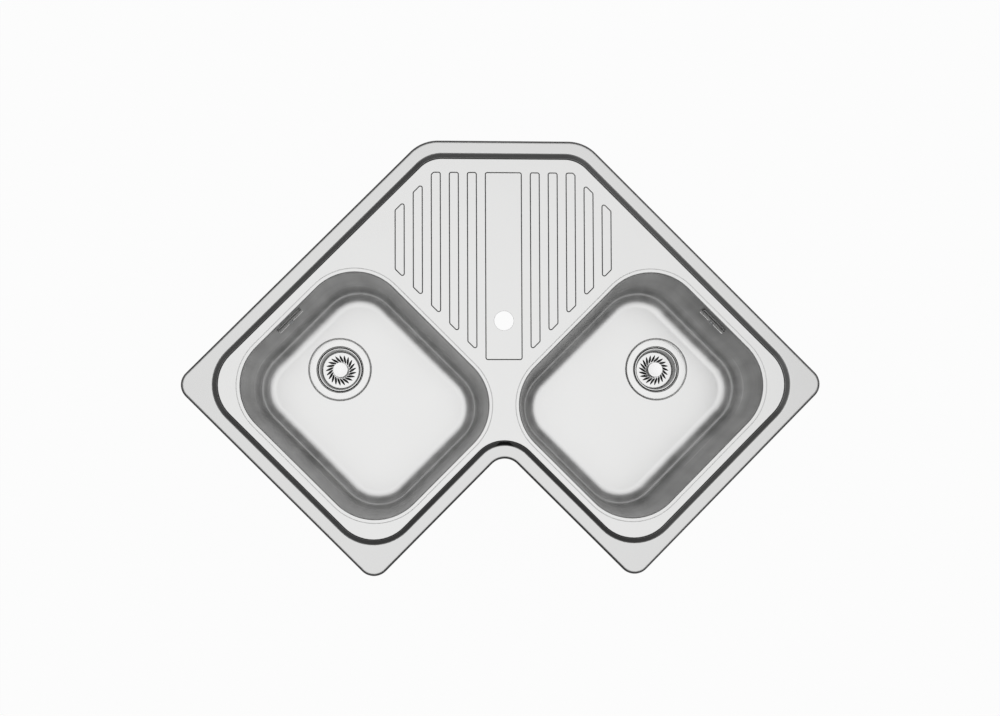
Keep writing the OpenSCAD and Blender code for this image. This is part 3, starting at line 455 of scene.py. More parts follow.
def baked(piece, sharp=32):
    # the modifiers' result becomes the piece's own mesh, smooth up to an angle
    bpy.context.view_layer.update()
    graph = bpy.context.evaluated_depsgraph_get()
    result = bpy.data.meshes.new_from_object(piece.evaluated_get(graph))
    piece.modifiers.clear()
    piece.data = result
    result.name = piece.name
    result.shade_smooth()
    result.set_sharp_from_angle(angle=math.radians(sharp))
    return piece


def thickened(piece, thickness):
    wall = piece.modifiers.new("wall", "SOLIDIFY")
    wall.thickness, wall.offset, wall.use_even_offset = thickness * mm, -1, True


def cutBy(piece, cutter):
    cut = piece.modifiers.new("cut", "BOOLEAN")
    cut.operation, cut.solver, cut.object = "DIFFERENCE", "EXACT", cutter


def slotCutter(low, high, matrix):
    mesh = bpy.data.meshes.new("slotCutter")
    bm = bmesh.new()
    bmesh.ops.create_cube(bm, size=1)
    size = Vector(high) - Vector(low)
    middle = (Vector(high) + Vector(low)) / 2
    bm.transform(Matrix.Diagonal((*(size * mm), 1)))
    bm.transform(shift(middle * mm))
    bm.to_mesh(mesh)
    bm.free()
    mesh.transform(inMetres(matrix))
    return addObject("slotCutter", mesh)


def inMetres(matrix):
    moved = matrix.copy()
    moved.translation = matrix.translation * mm
    return moved


def placed(piece, matrix):
    piece.data.transform(inMetres(matrix))
    if matrix.determinant() < 0:
        piece.data.flip_normals()
    return piece


def twin(piece, name, matrix):
    return placed(addObject(name, piece.data.copy()), matrix)


def joined(name, pieces):
    bm = bmesh.new()
    for piece in pieces:
        bm.from_mesh(piece.data)
    mesh = bpy.data.meshes.new(name)
    bm.to_mesh(mesh)
    bm.free()
    for material in pieces[0].data.materials:
        mesh.materials.append(material)
    for piece in pieces:
        bpy.data.objects.remove(piece)
    return addObject(name, mesh)


def lathe(name, profile, material, steps=96, closed=True):
    # a profile of (radius, height) turned about the Z axis; closed profiles are solid rings
    sheet = Pressing()
    rings = []
    for radius, height in profile:
        if radius < 1e-6:
            rings.append(sheet.loop([(0, 0, height)]))
        else:
            rings.append(sheet.loop(circleLoop((0, 0), radius, height, steps)))
    for a, b in zip(rings, rings[1:] + (rings[:1] if closed else [])):
        for i in range(steps):
            j = (i + 1) % steps
            corners = list(dict.fromkeys([a[i % len(a)], a[j % len(a)], b[j % len(b)], b[i % len(b)]]))
            if len(corners) > 2:
                sheet.mesh.faces.new(corners)
    sheet.outward()
    return sheet.piece(name, material)


def arc(centre, radius, start, end, steps=6):
    # points of an arc in a profile, with angles in degrees from the first axis
    return [(centre[0] + radius * math.cos(math.radians(start + (end - start) * k / steps)),
             centre[1] + radius * math.sin(math.radians(start + (end - start) * k / steps)))
            for k in range(steps + 1)]


def dress(piece, body, slot, *stoodFor):
    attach(piece, body)
    if stoodFor:
        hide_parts(*stoodFor)
    return piece


def dressPair(piece, name, slot, node, body=None):
    # the left piece, already in its place, and its twin on the right leg
    other = twin(piece, name + "Right", toRight)
    for one, side in ((piece, "_left"), (other, "_right")):
        dress(one, body + side if body else "root", slot, node + side)


# geometry node trees for what repeats round a ring or follows a route

def startTree(name, sockets):
    group = bpy.data.node_groups.new(name, "GeometryNodeTree")
    group.interface.new_socket("Geometry", in_out="INPUT", socket_type="NodeSocketGeometry")
    for socketName, kind in sockets:
        group.interface.new_socket(socketName, in_out="INPUT", socket_type=kind)
    group.interface.new_socket("Geometry", in_out="OUTPUT", socket_type="NodeSocketGeometry")
    tree = NodeTree(group)
    entry = group.nodes.new("NodeGroupInput")
    return group, tree, {s.name: Value(tree, s) for s in entry.outputs if s.name}


def endTree(tree, geometry, material):
    whole = tree.add("GeometryNodeRealizeInstances", None, {"Geometry": geometry})
    coloured = tree.add("GeometryNodeSetMaterial", None, {"Geometry": whole, "Material": material})
    tree.add("NodeGroupOutput", None, {"Geometry": coloured})


def ringTree():
    group, tree, given = startTree("copiesRoundRing", [
        ("Count", "NodeSocketInt"), ("Radius", "NodeSocketFloat"), ("Weld", "NodeSocketFloat"),
        ("Material", "NodeSocketMaterial")])
    ring = tree.add("GeometryNodeMeshCircle", None, {"Vertices": given["Count"], "Radius": given["Radius"]})
    order = tree.add("GeometryNodeInputIndex")
    angle = order * (2 * math.pi) / given["Count"]
    turn = tree.add("FunctionNodeAxisAngleToRotation", None, {"Axis": (0, 0, 1), "Angle": angle})
    copies = tree.add("GeometryNodeInstanceOnPoints", None,
                      {"Points": ring, "Instance": given["Geometry"], "Rotation": turn})
    whole = tree.add("GeometryNodeRealizeInstances", None, {"Geometry": copies})
    welded = tree.add("GeometryNodeMergeByDistance", None, {"Geometry": whole, "Distance": given["Weld"]})
    endTree(tree, welded, given["Material"])
    return group


def hoseTree():
    group, tree, given = startTree("ribbedHose", [
        ("Points", "NodeSocketInt"), ("Outer Radius", "NodeSocketFloat"), ("Groove", "NodeSocketFloat"),
        ("Cuff Points", "NodeSocketInt"), ("Sides", "NodeSocketInt"), ("Material", "NodeSocketMaterial")])
    route = tree.add("GeometryNodeMeshToCurve", None, {0: given["Geometry"]})
    even = tree.add("GeometryNodeResampleCurve", None, {"Curve": route, "Count": given["Points"]})
    order = tree.add("GeometryNodeInputIndex")
    wave = maths(tree, "PINGPONG", order, 2.0) / 2
    left = order - given["Cuff Points"]
    right = given["Points"] - 1 - given["Cuff Points"] - order
    inside = maths(tree, "GREATER_THAN", maths(tree, "MINIMUM", left, right), 0.0)
    radius = given["Outer Radius"] - given["Groove"] * wave * inside
    shaped = tree.add("GeometryNodeSetCurveRadius", None, {"Curve": even, "Radius": radius})
    section = tree.add("GeometryNodeCurvePrimitiveCircle", None, {"Resolution": given["Sides"], "Radius": 1.0})
    size = tree.add("GeometryNodeInputRadius")
    skin = tree.add("GeometryNodeCurveToMesh", None, {0: shaped, 1: section, "Scale": size})
    endTree(tree, skin, given["Material"])
    return group


def runTree(piece, group, values):
    # a tree's inputs are set by identifier, then its result becomes the piece's mesh
    modifier = piece.modifiers.new(group.name, "NODES")
    modifier.node_group = group
    for item in group.interface.items_tree:
        if item.item_type == "SOCKET" and item.in_out == "INPUT" and item.name in values:
            modifier[item.identifier] = values[item.name]
    return baked(piece)


copiesRoundRing = ringTree()
ribbedHose = hoseTree()
print("stage: node trees")


# the pressed top

reliefSize = {
    "margin": 55.4, "top": 57.2, "far": 406.3, "ribWide": 16.2, "ribGap": 16.3, "ribs": 5, "high": 1.5, "soft": 2.4,
    "panelLong": 338, "panelWide": 65, "cornerRound": 3.4, "panelRound": 3.4,
}
bowlSize = {
    "x0": 99.5, "x1": 442.5, "y0": -278.5, "y1": 115.5, "corner": 96, "edge": 3, "draft": 7,
    "floorRound": 28, "floorInset": -44.07, "crease": 7, "recess": 60, "hole": 45, "groove": 0.25, "sheet": 1,
    "slotLong": 46, "slotHigh": 12,
}


def outlineCorners(inset):
    leg, width, wall = topSize["leg"], topSize["width"], place["wall"]
    cut = topSize["cut"] + inset * (math.sqrt(2) - 1)
    plan = [(cut, inset), (leg - inset, inset), (leg - inset, width - inset), (width - inset, width - inset),
            (width - inset, leg - inset), (inset, leg - inset), (inset, cut)]
    return [(x + wall, y + wall) for x, y in plan]


def outlineLoop(inset, height, radii, grown):
    # the three radii are for the cut corner, the leg ends and the notch, at inset grown
    shrink = inset - grown
    cut, leg, notch = radii[0] - shrink, radii[1] - shrink, radii[2] + shrink
    return roundedLoop(outlineCorners(inset), (cut, leg, leg, notch, leg, leg, cut), height)


def bowlLoop(grown, height, swap=False):
    b = bowlSize
    corners = [(b["x0"] - grown, b["y0"] - grown), (b["x1"] + grown, b["y0"] - grown),
               (b["x1"] + grown, b["y1"] + grown), (b["x0"] - grown, b["y1"] + grown)]
    points = roundedLoop(corners, [b["corner"] + grown] * 4, height, 24)
    return [(y, x, z) for x, y, z in reversed(points)] if swap else points


def drainerField():
    near, far, wall = reliefSize["margin"], reliefSize["far"], place["wall"]
    start = topSize["cut"] + reliefSize["top"] * math.sqrt(2)
    plan = [(start - near, near), (far, near), (far, far), (near, far), (near, start - near)]
    return [(x + wall, y + wall) for x, y in plan]


def reliefOutlines():
    # the raised panel first, then the ribs on both sides of it
    along, across = Vector((1, 1)) / math.sqrt(2), Vector((-1, 1)) / math.sqrt(2)
    wall = Vector((place["wall"], place["wall"]))
    r = reliefSize

    def bar(start, end, low, high):
        return [tuple(wall + along * u + across * v) for u, v in ((start, low), (end, low), (end, high), (start, high))]

    start = topSize["cut"] / math.sqrt(2) + r["top"]
    outlines = [bar(start, start + r["panelLong"], -r["panelWide"] / 2, r["panelWide"] / 2)]
    field = drainerField()
    first = (r["panelWide"] + r["ribWide"]) / 2 + r["ribGap"]
    for side in (-1, 1):
        for i in range(r["ribs"]):
            middle = side * (first + (r["ribWide"] + r["ribGap"]) * i)
            shape = bar(0, topSize["leg"], middle - r["ribWide"] / 2, middle + r["ribWide"] / 2)
            for a, b in zip(field, field[1:] + field[:1]):
                edge = Vector(b) - Vector(a)
                shape = keepSide(shape, a, (-edge.y, edge.x))
            outlines.append(shape)
    return outlines


def sinkTop():
    sheet = Pressing()
    t, deck = topSize, place["deck"]
    lip = [(t["rim"] - x, z) for x, z in arc((0, 0), t["rim"], 0, 90, 10)]
    loops = [outlineLoop(d, z, t["outerRadii"], 0) for d, z in lip]
    loops.append(outlineLoop(t["rim"] + 1, t["rim"], t["outerRadii"], 0))
    slope = math.degrees(math.atan2(t["rim"] - deck, t["stepWide"]))
    tangent = t["stepRound"] * math.tan(math.radians(slope / 2))
    top = (t["border"] - tangent, t["rim"] - t["stepRound"])
    foot = (t["border"] + t["stepWide"] + tangent, deck + t["stepRound"])
    step = [(top[0] - 1, t["rim"])] + arc(top, t["stepRound"], 90, 90 - slope, 5)
    step += arc(foot, t["stepRound"], 270 - slope, 270, 5) + [(foot[0] + 1, deck)]
    loops += [outlineLoop(d, z, t["stepRadii"], t["border"]) for d, z in step]
    made = sheet.strips(loops)
    holes = []
    for swap in (False, True):
        b = bowlSize
        crease = b["crease"]
        rolled = [(crease + 2.2, deck), (crease + 1.2, deck), (crease + 0.8, deck - b["groove"]),
                  (crease + 0.4, deck - b["groove"]), (crease, deck), (b["edge"], deck)]
        holes.append(sheet.strips([bowlLoop(d, z, swap) for d, z in rolled])[0])
    for number, corners in enumerate(reliefOutlines()):
        soft, turn = reliefSize["soft"], reliefSize["panelRound"] if number == 0 else reliefSize["cornerRound"]
        shares = [k / 7 for k in range(8)]
        rise = [(-soft / 2 + soft * u, deck + reliefSize["high"] * u * u * (3 - 2 * u)) for u in shares]
        rise = [(rise[0][0] - 0.6, deck)] + rise + [(rise[-1][0] + 0.6, rise[-1][1])]
        walls = sheet.strips([
            roundedLoop(insetCorners(corners, d), [max(0.5, turn - d)] * len(corners), z, 6) for d, z in rise])
        holes.append(walls[0])
        if number == 0:
            hole = topSize["tapHole"]
            upper = deck + reliefSize["high"]
            rim = sheet.strips([circleLoop((0, 0), r, z) for r, z in (
                (hole + 1.2, upper), (hole + 0.6, upper), (hole + 0.2, upper - 0.12), (hole, upper - 0.4))])
            sheet.flat([walls[-1], rim[0]])
        else:
            sheet.flat([walls[-1]])
    sheet.flat([made[-1]] + holes)
    sheet.facing((0, 0, 1))
    piece = sheet.piece("pressedTop", finish["pressed_steel"])
    thickened(piece, t["sheet"])
    return dress(baked(piece), "root", "pressed_steel", "sink_top")


def bowl():
    sheet = Pressing()
    b, deck, floor = bowlSize, place["deck"], place["bowlFloor"]
    profile = [(x, z) for x, z in arc((b["edge"], deck - b["edge"]), b["edge"], 90, 180 - b["draft"], 12)]
    top = profile[-1]
    centre = (b["floorInset"], floor + b["floorRound"])
    fillet = arc(centre, b["floorRound"], -b["draft"], -90, 14)
    for share in (0.25, 0.5, 0.75):
        profile.append((top[0] + (fillet[0][0] - top[0]) * share, top[1] + (fillet[0][1] - top[1]) * share))
    profile += fillet + [(centre[0] - 1, floor)]
    walls = sheet.strips([bowlLoop(d, z) for d, z in profile])
    waste = (place["bowlMiddle"], place["wasteRow"])
    r, low = b["recess"], place["recess"]
    dish = [(r + 2.4, floor), (r + 1.2, floor)] + arc((r + 1.2, floor - 1.2), 1.2, 90, 153, 4)
    dish += [(r - 1.5, low + 0.4), (r - 2.0, low + 0.1), (r - 2.6, low), (b["hole"], low)]
    ring = sheet.strips([circleLoop(waste, radius, z) for radius, z in dish])
    sheet.flat([walls[-1], ring[0]])
    sheet.facing((0, 0, 1))
    piece = sheet.piece("bowlLeft", finish["bowl"])
    thickened(piece, b["sheet"])
    slot = slotCutter((-b["slotLong"] / 2, -b["slotHigh"] / 2, -4),
                      (b["slotLong"] / 2, b["slotHigh"] / 2, 4), atOverflow())
    cutBy(piece, slot)
    baked(piece)
    bpy.data.objects.remove(slot)
    dressPair(piece, "bowl", "pressed_steel", "bowl")


def atOverflow():
    return shift((place["bowlMiddle"], place["overflowY"], place["overflowZ"])) @ \
        Matrix.Rotation(place["draft"] - quarter, 4, "X")


sinkTop()
print("stage: top")
bowl()
print("stage: bowls")


# waste flange, basket and knob

flangeSize = {
    "outer": 57, "mouth": 43.5, "shoulder": 40.6, "shoulderDrop": 10, "dish": 38, "top": -162, "deep": 36,
    "sheet": 1, "drainHole": 5, "drainRing": 17, "drainHoles": 8, "screwHole": 3.3,
}
basketSize = {
    "slots": 21, "slotFrom": 15.8, "slotTo": 29.2, "slant": 28, "slotWide": 4.5,
    "aimTo": 28, "bore": 4.1, "foot": 36, "wall": 39.2, "rim": 41, "floor": -189.9, "top": -167, "sheet": 0.8,
    "lip": 1.6,
}
knobSize = {
    "foot": 9, "waist": 6.6, "cap": 14.5, "top": -170, "capHigh": 5, "floor": -189.1, "bore": 4.1, "pin": -172.9,
}


def flange():
    s = flangeSize
    top, outer, mouth, shoulder = s["top"], s["outer"], s["mouth"], s["shoulder"]
    low, ledge = top - s["deep"], top - s["shoulderDrop"]
    sheet = Pressing()
    profile = [(outer, top - 0.8), (outer, top - 0.45), (outer - 0.25, top - 0.1), (outer - 0.8, top),
               (mouth + 2.4, top)]
    profile += arc((mouth + 2.4, top - 2.4), 2.4, 90, 164)
    profile += [(shoulder + 0.35, ledge + 1), (shoulder, ledge), (shoulder - 0.12, ledge - 1)]
    profile += arc((s["dish"] - 4, low + 4), 4, -2, -90) + [(s["dish"] - 5, low)]
    rings = sheet.strips([circleLoop((0, 0), r, z) for r, z in profile])
    holes = [sheet.loop(circleLoop((0, 0), s["screwHole"], low, 24))]
    for k in range(s["drainHoles"]):
        angle = 2 * math.pi * k / s["drainHoles"]
        middle = (s["drainRing"] * math.cos(angle), s["drainRing"] * math.sin(angle))
        holes.append(sheet.loop(circleLoop(middle, s["drainHole"], low, 24)))
    sheet.flat([rings[-1]] + holes)
    sheet.facing((0, 0, 1))
    piece = sheet.piece("wasteFlangeLeft", finish["flange"])
    thickened(piece, s["sheet"] * 0.95)
    baked(piece)
    placed(piece, shift(wasteLeft))
    dressPair(piece, "wasteFlange", "waste_steel", "flange")


def basketSector():
    # one slice of the basket's foot and wall with its teardrop slot; its two sides match when turned
    s = basketSize
    pitch = 2 * math.pi / s["slots"]
    slant = math.radians(s["slant"])
    through = Vector(((s["slotFrom"] + s["aimTo"]) / 2, 0))  # the slot's middle line crosses this point
    along = Vector((math.cos(slant), math.sin(slant)))

    def lineAt(radius):
        # the angle at which the slot's middle line passes a radius
        b = through.dot(along)
        t = -b + math.sqrt(b * b - through.length_squared + radius * radius)
        point = through + along * t
        return math.atan2(point.y, point.x)

    sheet = Pressing()
    inner = [s["bore"], 8.0, 12.5]
    middle = [s["slotFrom"] + (s["slotTo"] - s["slotFrom"]) * k / 8 for k in range(9)]
    outer = [s["slotTo"] + 1.6, 31.5, 33.4]
    base = lineAt(s["slotFrom"])
    reach = lineAt(outer[0])

    def angleOf(radius):
        return lineAt(radius) if s["slotFrom"] <= radius <= outer[0] else (base if radius < s["slotFrom"] else reach)

    def row(radius, height, half):
        angle = angleOf(radius)
        marks = [-pitch / 2, -pitch / 4 - half / 2, -half, half, pitch / 4 + half / 2, pitch / 2]
        return sheet.loop([(radius * math.cos(angle + m), radius * math.sin(angle + m), height) for m in marks])

    floor, rim = s["floor"], s["top"]
    rows = [row(r, floor, pitch / 8) for r in inner]
    count = len(middle)
    for k, r in enumerate(middle):
        share = k / (count - 1)
        wide = s["slotWide"] / 2 * max(0.2, math.sin(math.pi * share ** 0.7) ** 0.6 if 0 < share < 1 else 0)
        rows.append(row(r, floor, wide / math.cos(slant) / r))
    rows += [row(r, floor, pitch / 8) for r in outer]
    rolled = [(s["foot"] - 2.6 + 2.6 * math.sin(a), floor + 2.6 - 2.6 * math.cos(a))
              for a in (math.radians(12 + 14 * k) for k in range(6))]
    wallTop = rim - s["lip"]
    upper = rolled + [(s["foot"] + (s["wall"] - s["foot"]) * 0.5, (floor + wallTop) / 2),
                      (s["wall"] - 0.3, wallTop - 0.4), (s["wall"] - 0.1, rim - 0.5), (s["wall"] + 0.3, rim - 0.1),
                      (s["rim"] - 0.5, rim), (s["rim"] - 0.1, rim - 0.3), (s["rim"], rim - 0.9)]
    rows += [row(r, z, pitch / 8) for r, z in upper]
    first = len(inner)
    for k, (low, high) in enumerate(zip(rows, rows[1:])):
        for m in range(5):
            if m == 2 and first <= k < first + count - 1:
                continue
            sheet.mesh.faces.new((low[m], low[m + 1], high[m + 1], high[m]))
    sheet.facing((0, 0, 1))
    return sheet.piece("basketLeft", finish["basket"])


def basket():
    s = basketSize
    piece = basketSector()
    runTree(piece, copiesRoundRing,
            {"Count": s["slots"], "Radius": 0.0, "Weld": 0.02 * mm, "Material": finish["basket"]})
    thickened(piece, s["sheet"] * 0.9)
    baked(piece)
    other = twin(piece, "basketRight", shift(wasteRight) @ swapXY)
    placed(piece, shift(wasteLeft))
    dress(piece, "basket_left", "waste_steel", "basket_left")
    dress(other, "basket_right", "waste_steel", "basket_right")


def knob():
    s = knobSize
    top, floor, foot, waist, cap, bore = (s[key] for key in ("top", "floor", "foot", "waist", "cap", "bore"))
    neck = top - s["capHigh"]
    profile = [(bore, floor), (foot, floor), (foot - 0.1, floor + 0.8), (waist + 0.9, floor + 3),
               (waist, (floor + neck) / 2), (waist + 0.9, neck - 2.2), (foot, neck), (cap - 0.8, top - 3),
               (cap, top - 2.2), (cap, top - 0.9)]
    profile += arc((cap - 0.8, top - 0.8), 0.8, 0, 90, 5)
    profile += [(cap - 2.2, top - 0.12), (cap - 5, top - 0.5), (cap - 9, top - 0.78),
                (2.5, top - 0.9), (0, top - 0.92), (0, s["pin"]), (bore, s["pin"])]
    piece = lathe("basketKnobLeft", profile, finish["knob_steel"], 72)
    baked(piece, 40)
    placed(piece, shift(wasteLeft))
    dressPair(piece, "basketKnob", "knob_steel", "basket_knob", "basket")


flange()
basket()
knob()
print("stage: wastes")


# overflow covers, screws and hoses

coverSize = {
    "long": 57, "high": 24, "bulge": 4, "thick": 1, "round": 20, "corner": 4, "head": 4.5, "headHigh": 2,
    "shaft": 2.5, "foot": -33,
}


def overflowCover():
    s = coverSize
    spread = math.asin(s["high"] / 2 / s["round"])
    crown = s["bulge"] + s["thick"] * math.cos(spread)
    sheet = Pressing()
    rows = []
    for k in range(17):
        angle = spread * (k / 8 - 1)
        y = s["round"] * math.sin(angle)
        z = crown - s["round"] + s["round"] * math.cos(angle)
        near = max(0.0, abs(y) - (s["high"] / 2 - s["corner"]))
        half = s["long"] / 2 - s["corner"] + math.sqrt(max(0.0, s["corner"] ** 2 - near ** 2))
        rows.append(sheet.loop([(half * m / 8, y, z) for m in range(-8, 9)]))
    for low, high in zip(rows, rows[1:]):
        sheet.strip(low, high, closed=False)
    sheet.facing((0, 0, 1))
    piece = sheet.piece("overflowCoverLeft", finish["waste_steel"])
    thickened(piece, s["thick"])
    rounding = piece.modifiers.new("rounding", "BEVEL")
    rounding.width, rounding.segments, rounding.angle_limit = 0.3 * mm, 2, math.radians(50)
    baked(piece, 50)
    placed(piece, atOverflow())
    dressPair(piece, "overflowCover", "waste_steel", "overflow_cover")

    head = [(0, s["foot"]), (s["shaft"], s["foot"]), (s["shaft"], crown), (s["head"], crown), (s["head"], crown + 0.5)]
    head += arc((s["head"] - 1.4, crown + 0.6), 1.4, 0, 90, 5) + [(0, crown + s["headHigh"])]
    screw = lathe("screwLeft", head, finish["screw_steel"], 40, closed=False)
    slot = slotCutter((-6, -0.6, crown + 1.0), (6, 0.6, crown + 4), Matrix())
    cutBy(screw, slot)
    baked(screw, 35)
    bpy.data.objects.remove(slot)
    placed(screw, atOverflow())
    second = twin(screw, "screwRight", toRight)
    dress(joined("overflowScrews", [screw, second]), "root", "screw_steel", "overflow_screws")


hoseSize = {"outer": 10, "groove": 1.6, "cuff": 14, "rib": 4, "bend": 45, "axis": 24, "box": 10, "collar": 10,
            "inletZ": -192, "inletY": -219.5, "sides": 28, "wall": 0.6}


def hoseRoute():
    # down from the housing, round a bend and level into the cup, in the plane across the leg
    s, a = hoseSize, place["draft"]
    down, back = Vector((math.sin(a), -math.cos(a))), Vector((math.cos(a), math.sin(a)))
    start = Vector((place["overflowY"], place["overflowZ"])) + down * (s["box"] + s["collar"]) - back * s["axis"]
    turn = quarter - a
    corner = start + down * ((start.y - s["inletZ"]) / math.cos(a))
    tangent = s["bend"] * math.tan(turn / 2)
    bendStart = corner - down * tangent
    centre = bendStart + back * s["bend"]
    points = [start + (bendStart - start) * k / 12 for k in range(12)]
    for k in range(25):
        angle = turn * (1 - k / 24)
        points.append(centre + Vector((-math.sin(angle), -math.cos(angle))) * s["bend"])
    end = Vector((s["inletY"], s["inletZ"]))
    points += [points[-1].lerp(end, k / 4) for k in range(1, 5)]
    return [(place["bowlMiddle"], p.x, p.y) for p in points]


def overflowHose():
    s = hoseSize
    points = hoseRoute()
    length = sum((Vector(a) - Vector(b)).length for a, b in zip(points, points[1:]))
    mesh = bpy.data.meshes.new("hoseRoute")
    mesh.from_pydata([Vector(p) * mm for p in points], [(k, k + 1) for k in range(len(points) - 1)], [])
    piece = addObject("overflowHoseLeft", mesh)
    piece.data.materials.append(finish["hose_plastic"])
    count = int(length / (s["rib"] / 4)) // 4 * 4 + 1
    cuff = int(s["cuff"] / (s["rib"] / 4)) // 4 * 4
    runTree(piece, ribbedHose, {"Points": count, "Outer Radius": s["outer"] * mm, "Groove": s["groove"] * mm,
                                "Cuff Points": cuff, "Sides": s["sides"], "Material": finish["hose_plastic"]})
    fixNormals(piece)
    thickened(piece, s["wall"])
    baked(piece, 60)
    dressPair(piece, "overflowHose", "hose_plastic", "overflow_hose")


def fixNormals(piece):
    bm = bmesh.new()
    bm.from_mesh(piece.data)
    bmesh.ops.recalc_face_normals(bm, faces=bm.faces)
    bm.to_mesh(piece.data)
    bm.free()


overflowCover()
overflowHose()
print("stage: overflows")


# nuts and trap

nutSize = {
    "outer": 27, "body": 25.7, "up": 12, "down": 6, "washer": 3, "collar": 3, "threadBore": 21.3,
    "pipeBore": 20.3, "ribs": 28, "ribWide": 2.2,
}
hoseNutSize = {"outer": 14, "body": 13.2, "long": 10, "bore": 10.3, "ribs": 18, "ribWide": 1.8}
trapSize = {"outer": 40, "body": 38.8, "floor": -481, "rim": -426, "wall": 3, "bore": 36.3, "foot": 9, "ribs": 36,
            "ribWide": 2.6, "ribLow": -452}
coupling = {"cupEnd": -249, "run": -307, "teeHalf": 45, "teeEnd": -362, "port": -403, "portLong": 62}


def gripRib(name, inner, outer, low, high, wide, material):
    # one moulded rib, tapered, on the +X side; the tree copies it round
    sheet = Pressing()
    soft = min(1.2, (high - low) / 4)
    rows = [(inner - 0.6, low, wide), (outer - 0.25, low + soft, wide * 0.7), (outer, low + soft * 1.6, wide * 0.5),
            (outer, high - soft * 1.6, wide * 0.5), (outer - 0.25, high - soft, wide * 0.7), (inner - 0.6, high, wide)]
    made = [sheet.loop([(r, -w / 2, z), (r, w / 2, z)]) for r, z, w in rows]
    for (a, b), (c, d) in zip(made, made[1:]):
        sheet.mesh.faces.new((a, b, d, c))
    for side in (0, 1):
        sheet.mesh.faces.new([row[side] for row in made])
    sheet.mesh.faces.new((made[0][0], made[0][1], made[-1][1], made[-1][0]))
    sheet.outward()
    return sheet.piece(name, material)


def withRibs(name, body, size, low, high, material):
    ribs = gripRib("ribs", size["body"], size["outer"], low, high, size["ribWide"], material)
    runTree(ribs, copiesRoundRing, {"Count": size["ribs"], "Radius": 0.0, "Weld": 0.0, "Material": material})
    return joined(name, [body, ribs])


def pipeNut():
    s = nutSize
    low, ledge = -s["washer"] - s["collar"] - s["down"], -s["washer"] - s["collar"]
    body = s["body"]
    profile = [(s["pipeBore"], low), (body - 2.2, low)] + arc((body - 2.2, low + 2.2), 2.2, -90, 0, 5)
    profile += arc((body - 1.2, s["up"] - 1.2), 1.2, 0, 90, 4) + [(s["threadBore"] + 0.6, s["up"]),
               (s["threadBore"], s["up"] - 0.6), (s["threadBore"], ledge), (s["pipeBore"], ledge)]
    piece = lathe("nutBody", profile, finish["nut_plastic"], 64)
    return withRibs("pipeNut", piece, s, low + 1.5, s["up"] - 0.8, finish["nut_plastic"])


def couplings():
    # where each nut sits: z points along the threaded end, away from the pipe
    c, tee = coupling, place["teeX"]
    turned = Matrix.Rotation(quarter, 4, "Y")
    spots = [shift(wasteLeft + Vector((0, 0, c["cupEnd"]))),
             shift(wasteRight + Vector((0, 0, c["cupEnd"])))]
    along = (place["bowlMiddle"] - place["wasteRow"]) / math.sqrt(2) - c["teeHalf"]
    for waste, heading in ((wasteLeft, 135), (wasteRight, -45)):
        spots.append(shift(waste + Vector((0, 0, c["run"]))) @
                     Matrix.Rotation(math.radians(heading), 4, "Z") @ shift((along, 0, 0)) @ turned)
    spots.append(shift((tee, tee, c["teeEnd"] - nutSize["washer"])) @ Matrix.Rotation(math.pi, 4, "X"))
    spots.append(shift((tee, tee, c["port"])) @ Matrix.Rotation(math.pi, 4, "Z") @
                 shift((c["portLong"], 0, 0)) @ Matrix.Rotation(-quarter, 4, "Y"))
    return spots


def nuts():
    first = pipeNut()
    copies = [twin(first, "nut", spot) for spot in couplings()]
    bpy.data.objects.remove(first)
    dress(baked(joined("pipeNuts", copies), 35), "root", "nut_plastic", "pipe_nuts")

    s = hoseNutSize
    profile = [(s["bore"], 0), (s["body"] - 0.8, 0)] + arc((s["body"] - 1, 1), 1, -90, 0, 4)
    profile += arc((s["body"] - 1.6, s["long"] - 1.6), 1.6, 0, 90, 5) + [(s["bore"], s["long"])]
    body = lathe("hoseNutBody", profile, finish["nut_plastic"], 48)
    one = withRibs("hoseNut", body, s, 0.5, s["long"] - 1.2, finish["nut_plastic"])
    left = placed(one, shift((place["bowlMiddle"], hoseSize["inletY"], hoseSize["inletZ"])) @
                  Matrix.Rotation(quarter, 4, "X"))
    right = twin(left, "hoseNutRight", toRight)
    dress(baked(joined("hoseNuts", [left, right]), 35), "root", "nut_plastic", "hose_nuts")


def trapCup():
    s = trapSize
    profile = [(0, s["floor"]), (s["body"] - s["foot"], s["floor"])]
    profile += arc((s["body"] - s["foot"], s["floor"] + s["foot"]), s["foot"], -80, 0, 8)
    profile += arc((s["body"] - 1, s["rim"] - 1), 1, 0, 90, 4)
    profile += [(s["bore"] + 0.5, s["rim"]), (s["bore"], s["rim"] - 0.5), (s["bore"], s["floor"] + s["foot"])]
    profile += [(s["bore"] - 6, s["floor"] + s["wall"]), (0, s["floor"] + s["wall"])]
    body = lathe("trapCupBody", profile, finish["nut_plastic"], 80)
    piece = withRibs("trapCup", body, s, s["ribLow"], s["rim"] - 1.5, finish["nut_plastic"])
    placed(piece, shift((place["teeX"], place["teeX"], 0)))
    dress(baked(piece, 35), "root", "nut_plastic", "trap_cup")


nuts()
trapCup()
print("stage: nuts and trap")


# sound pads, with rounded corners and a soft edge

padSize = {
    "long": 200, "wide": 128, "off": 70, "thick": 2, "corner": 12, "drainerLong": 205, "drainerWide": 196,
    "drainerStart": 215,
}


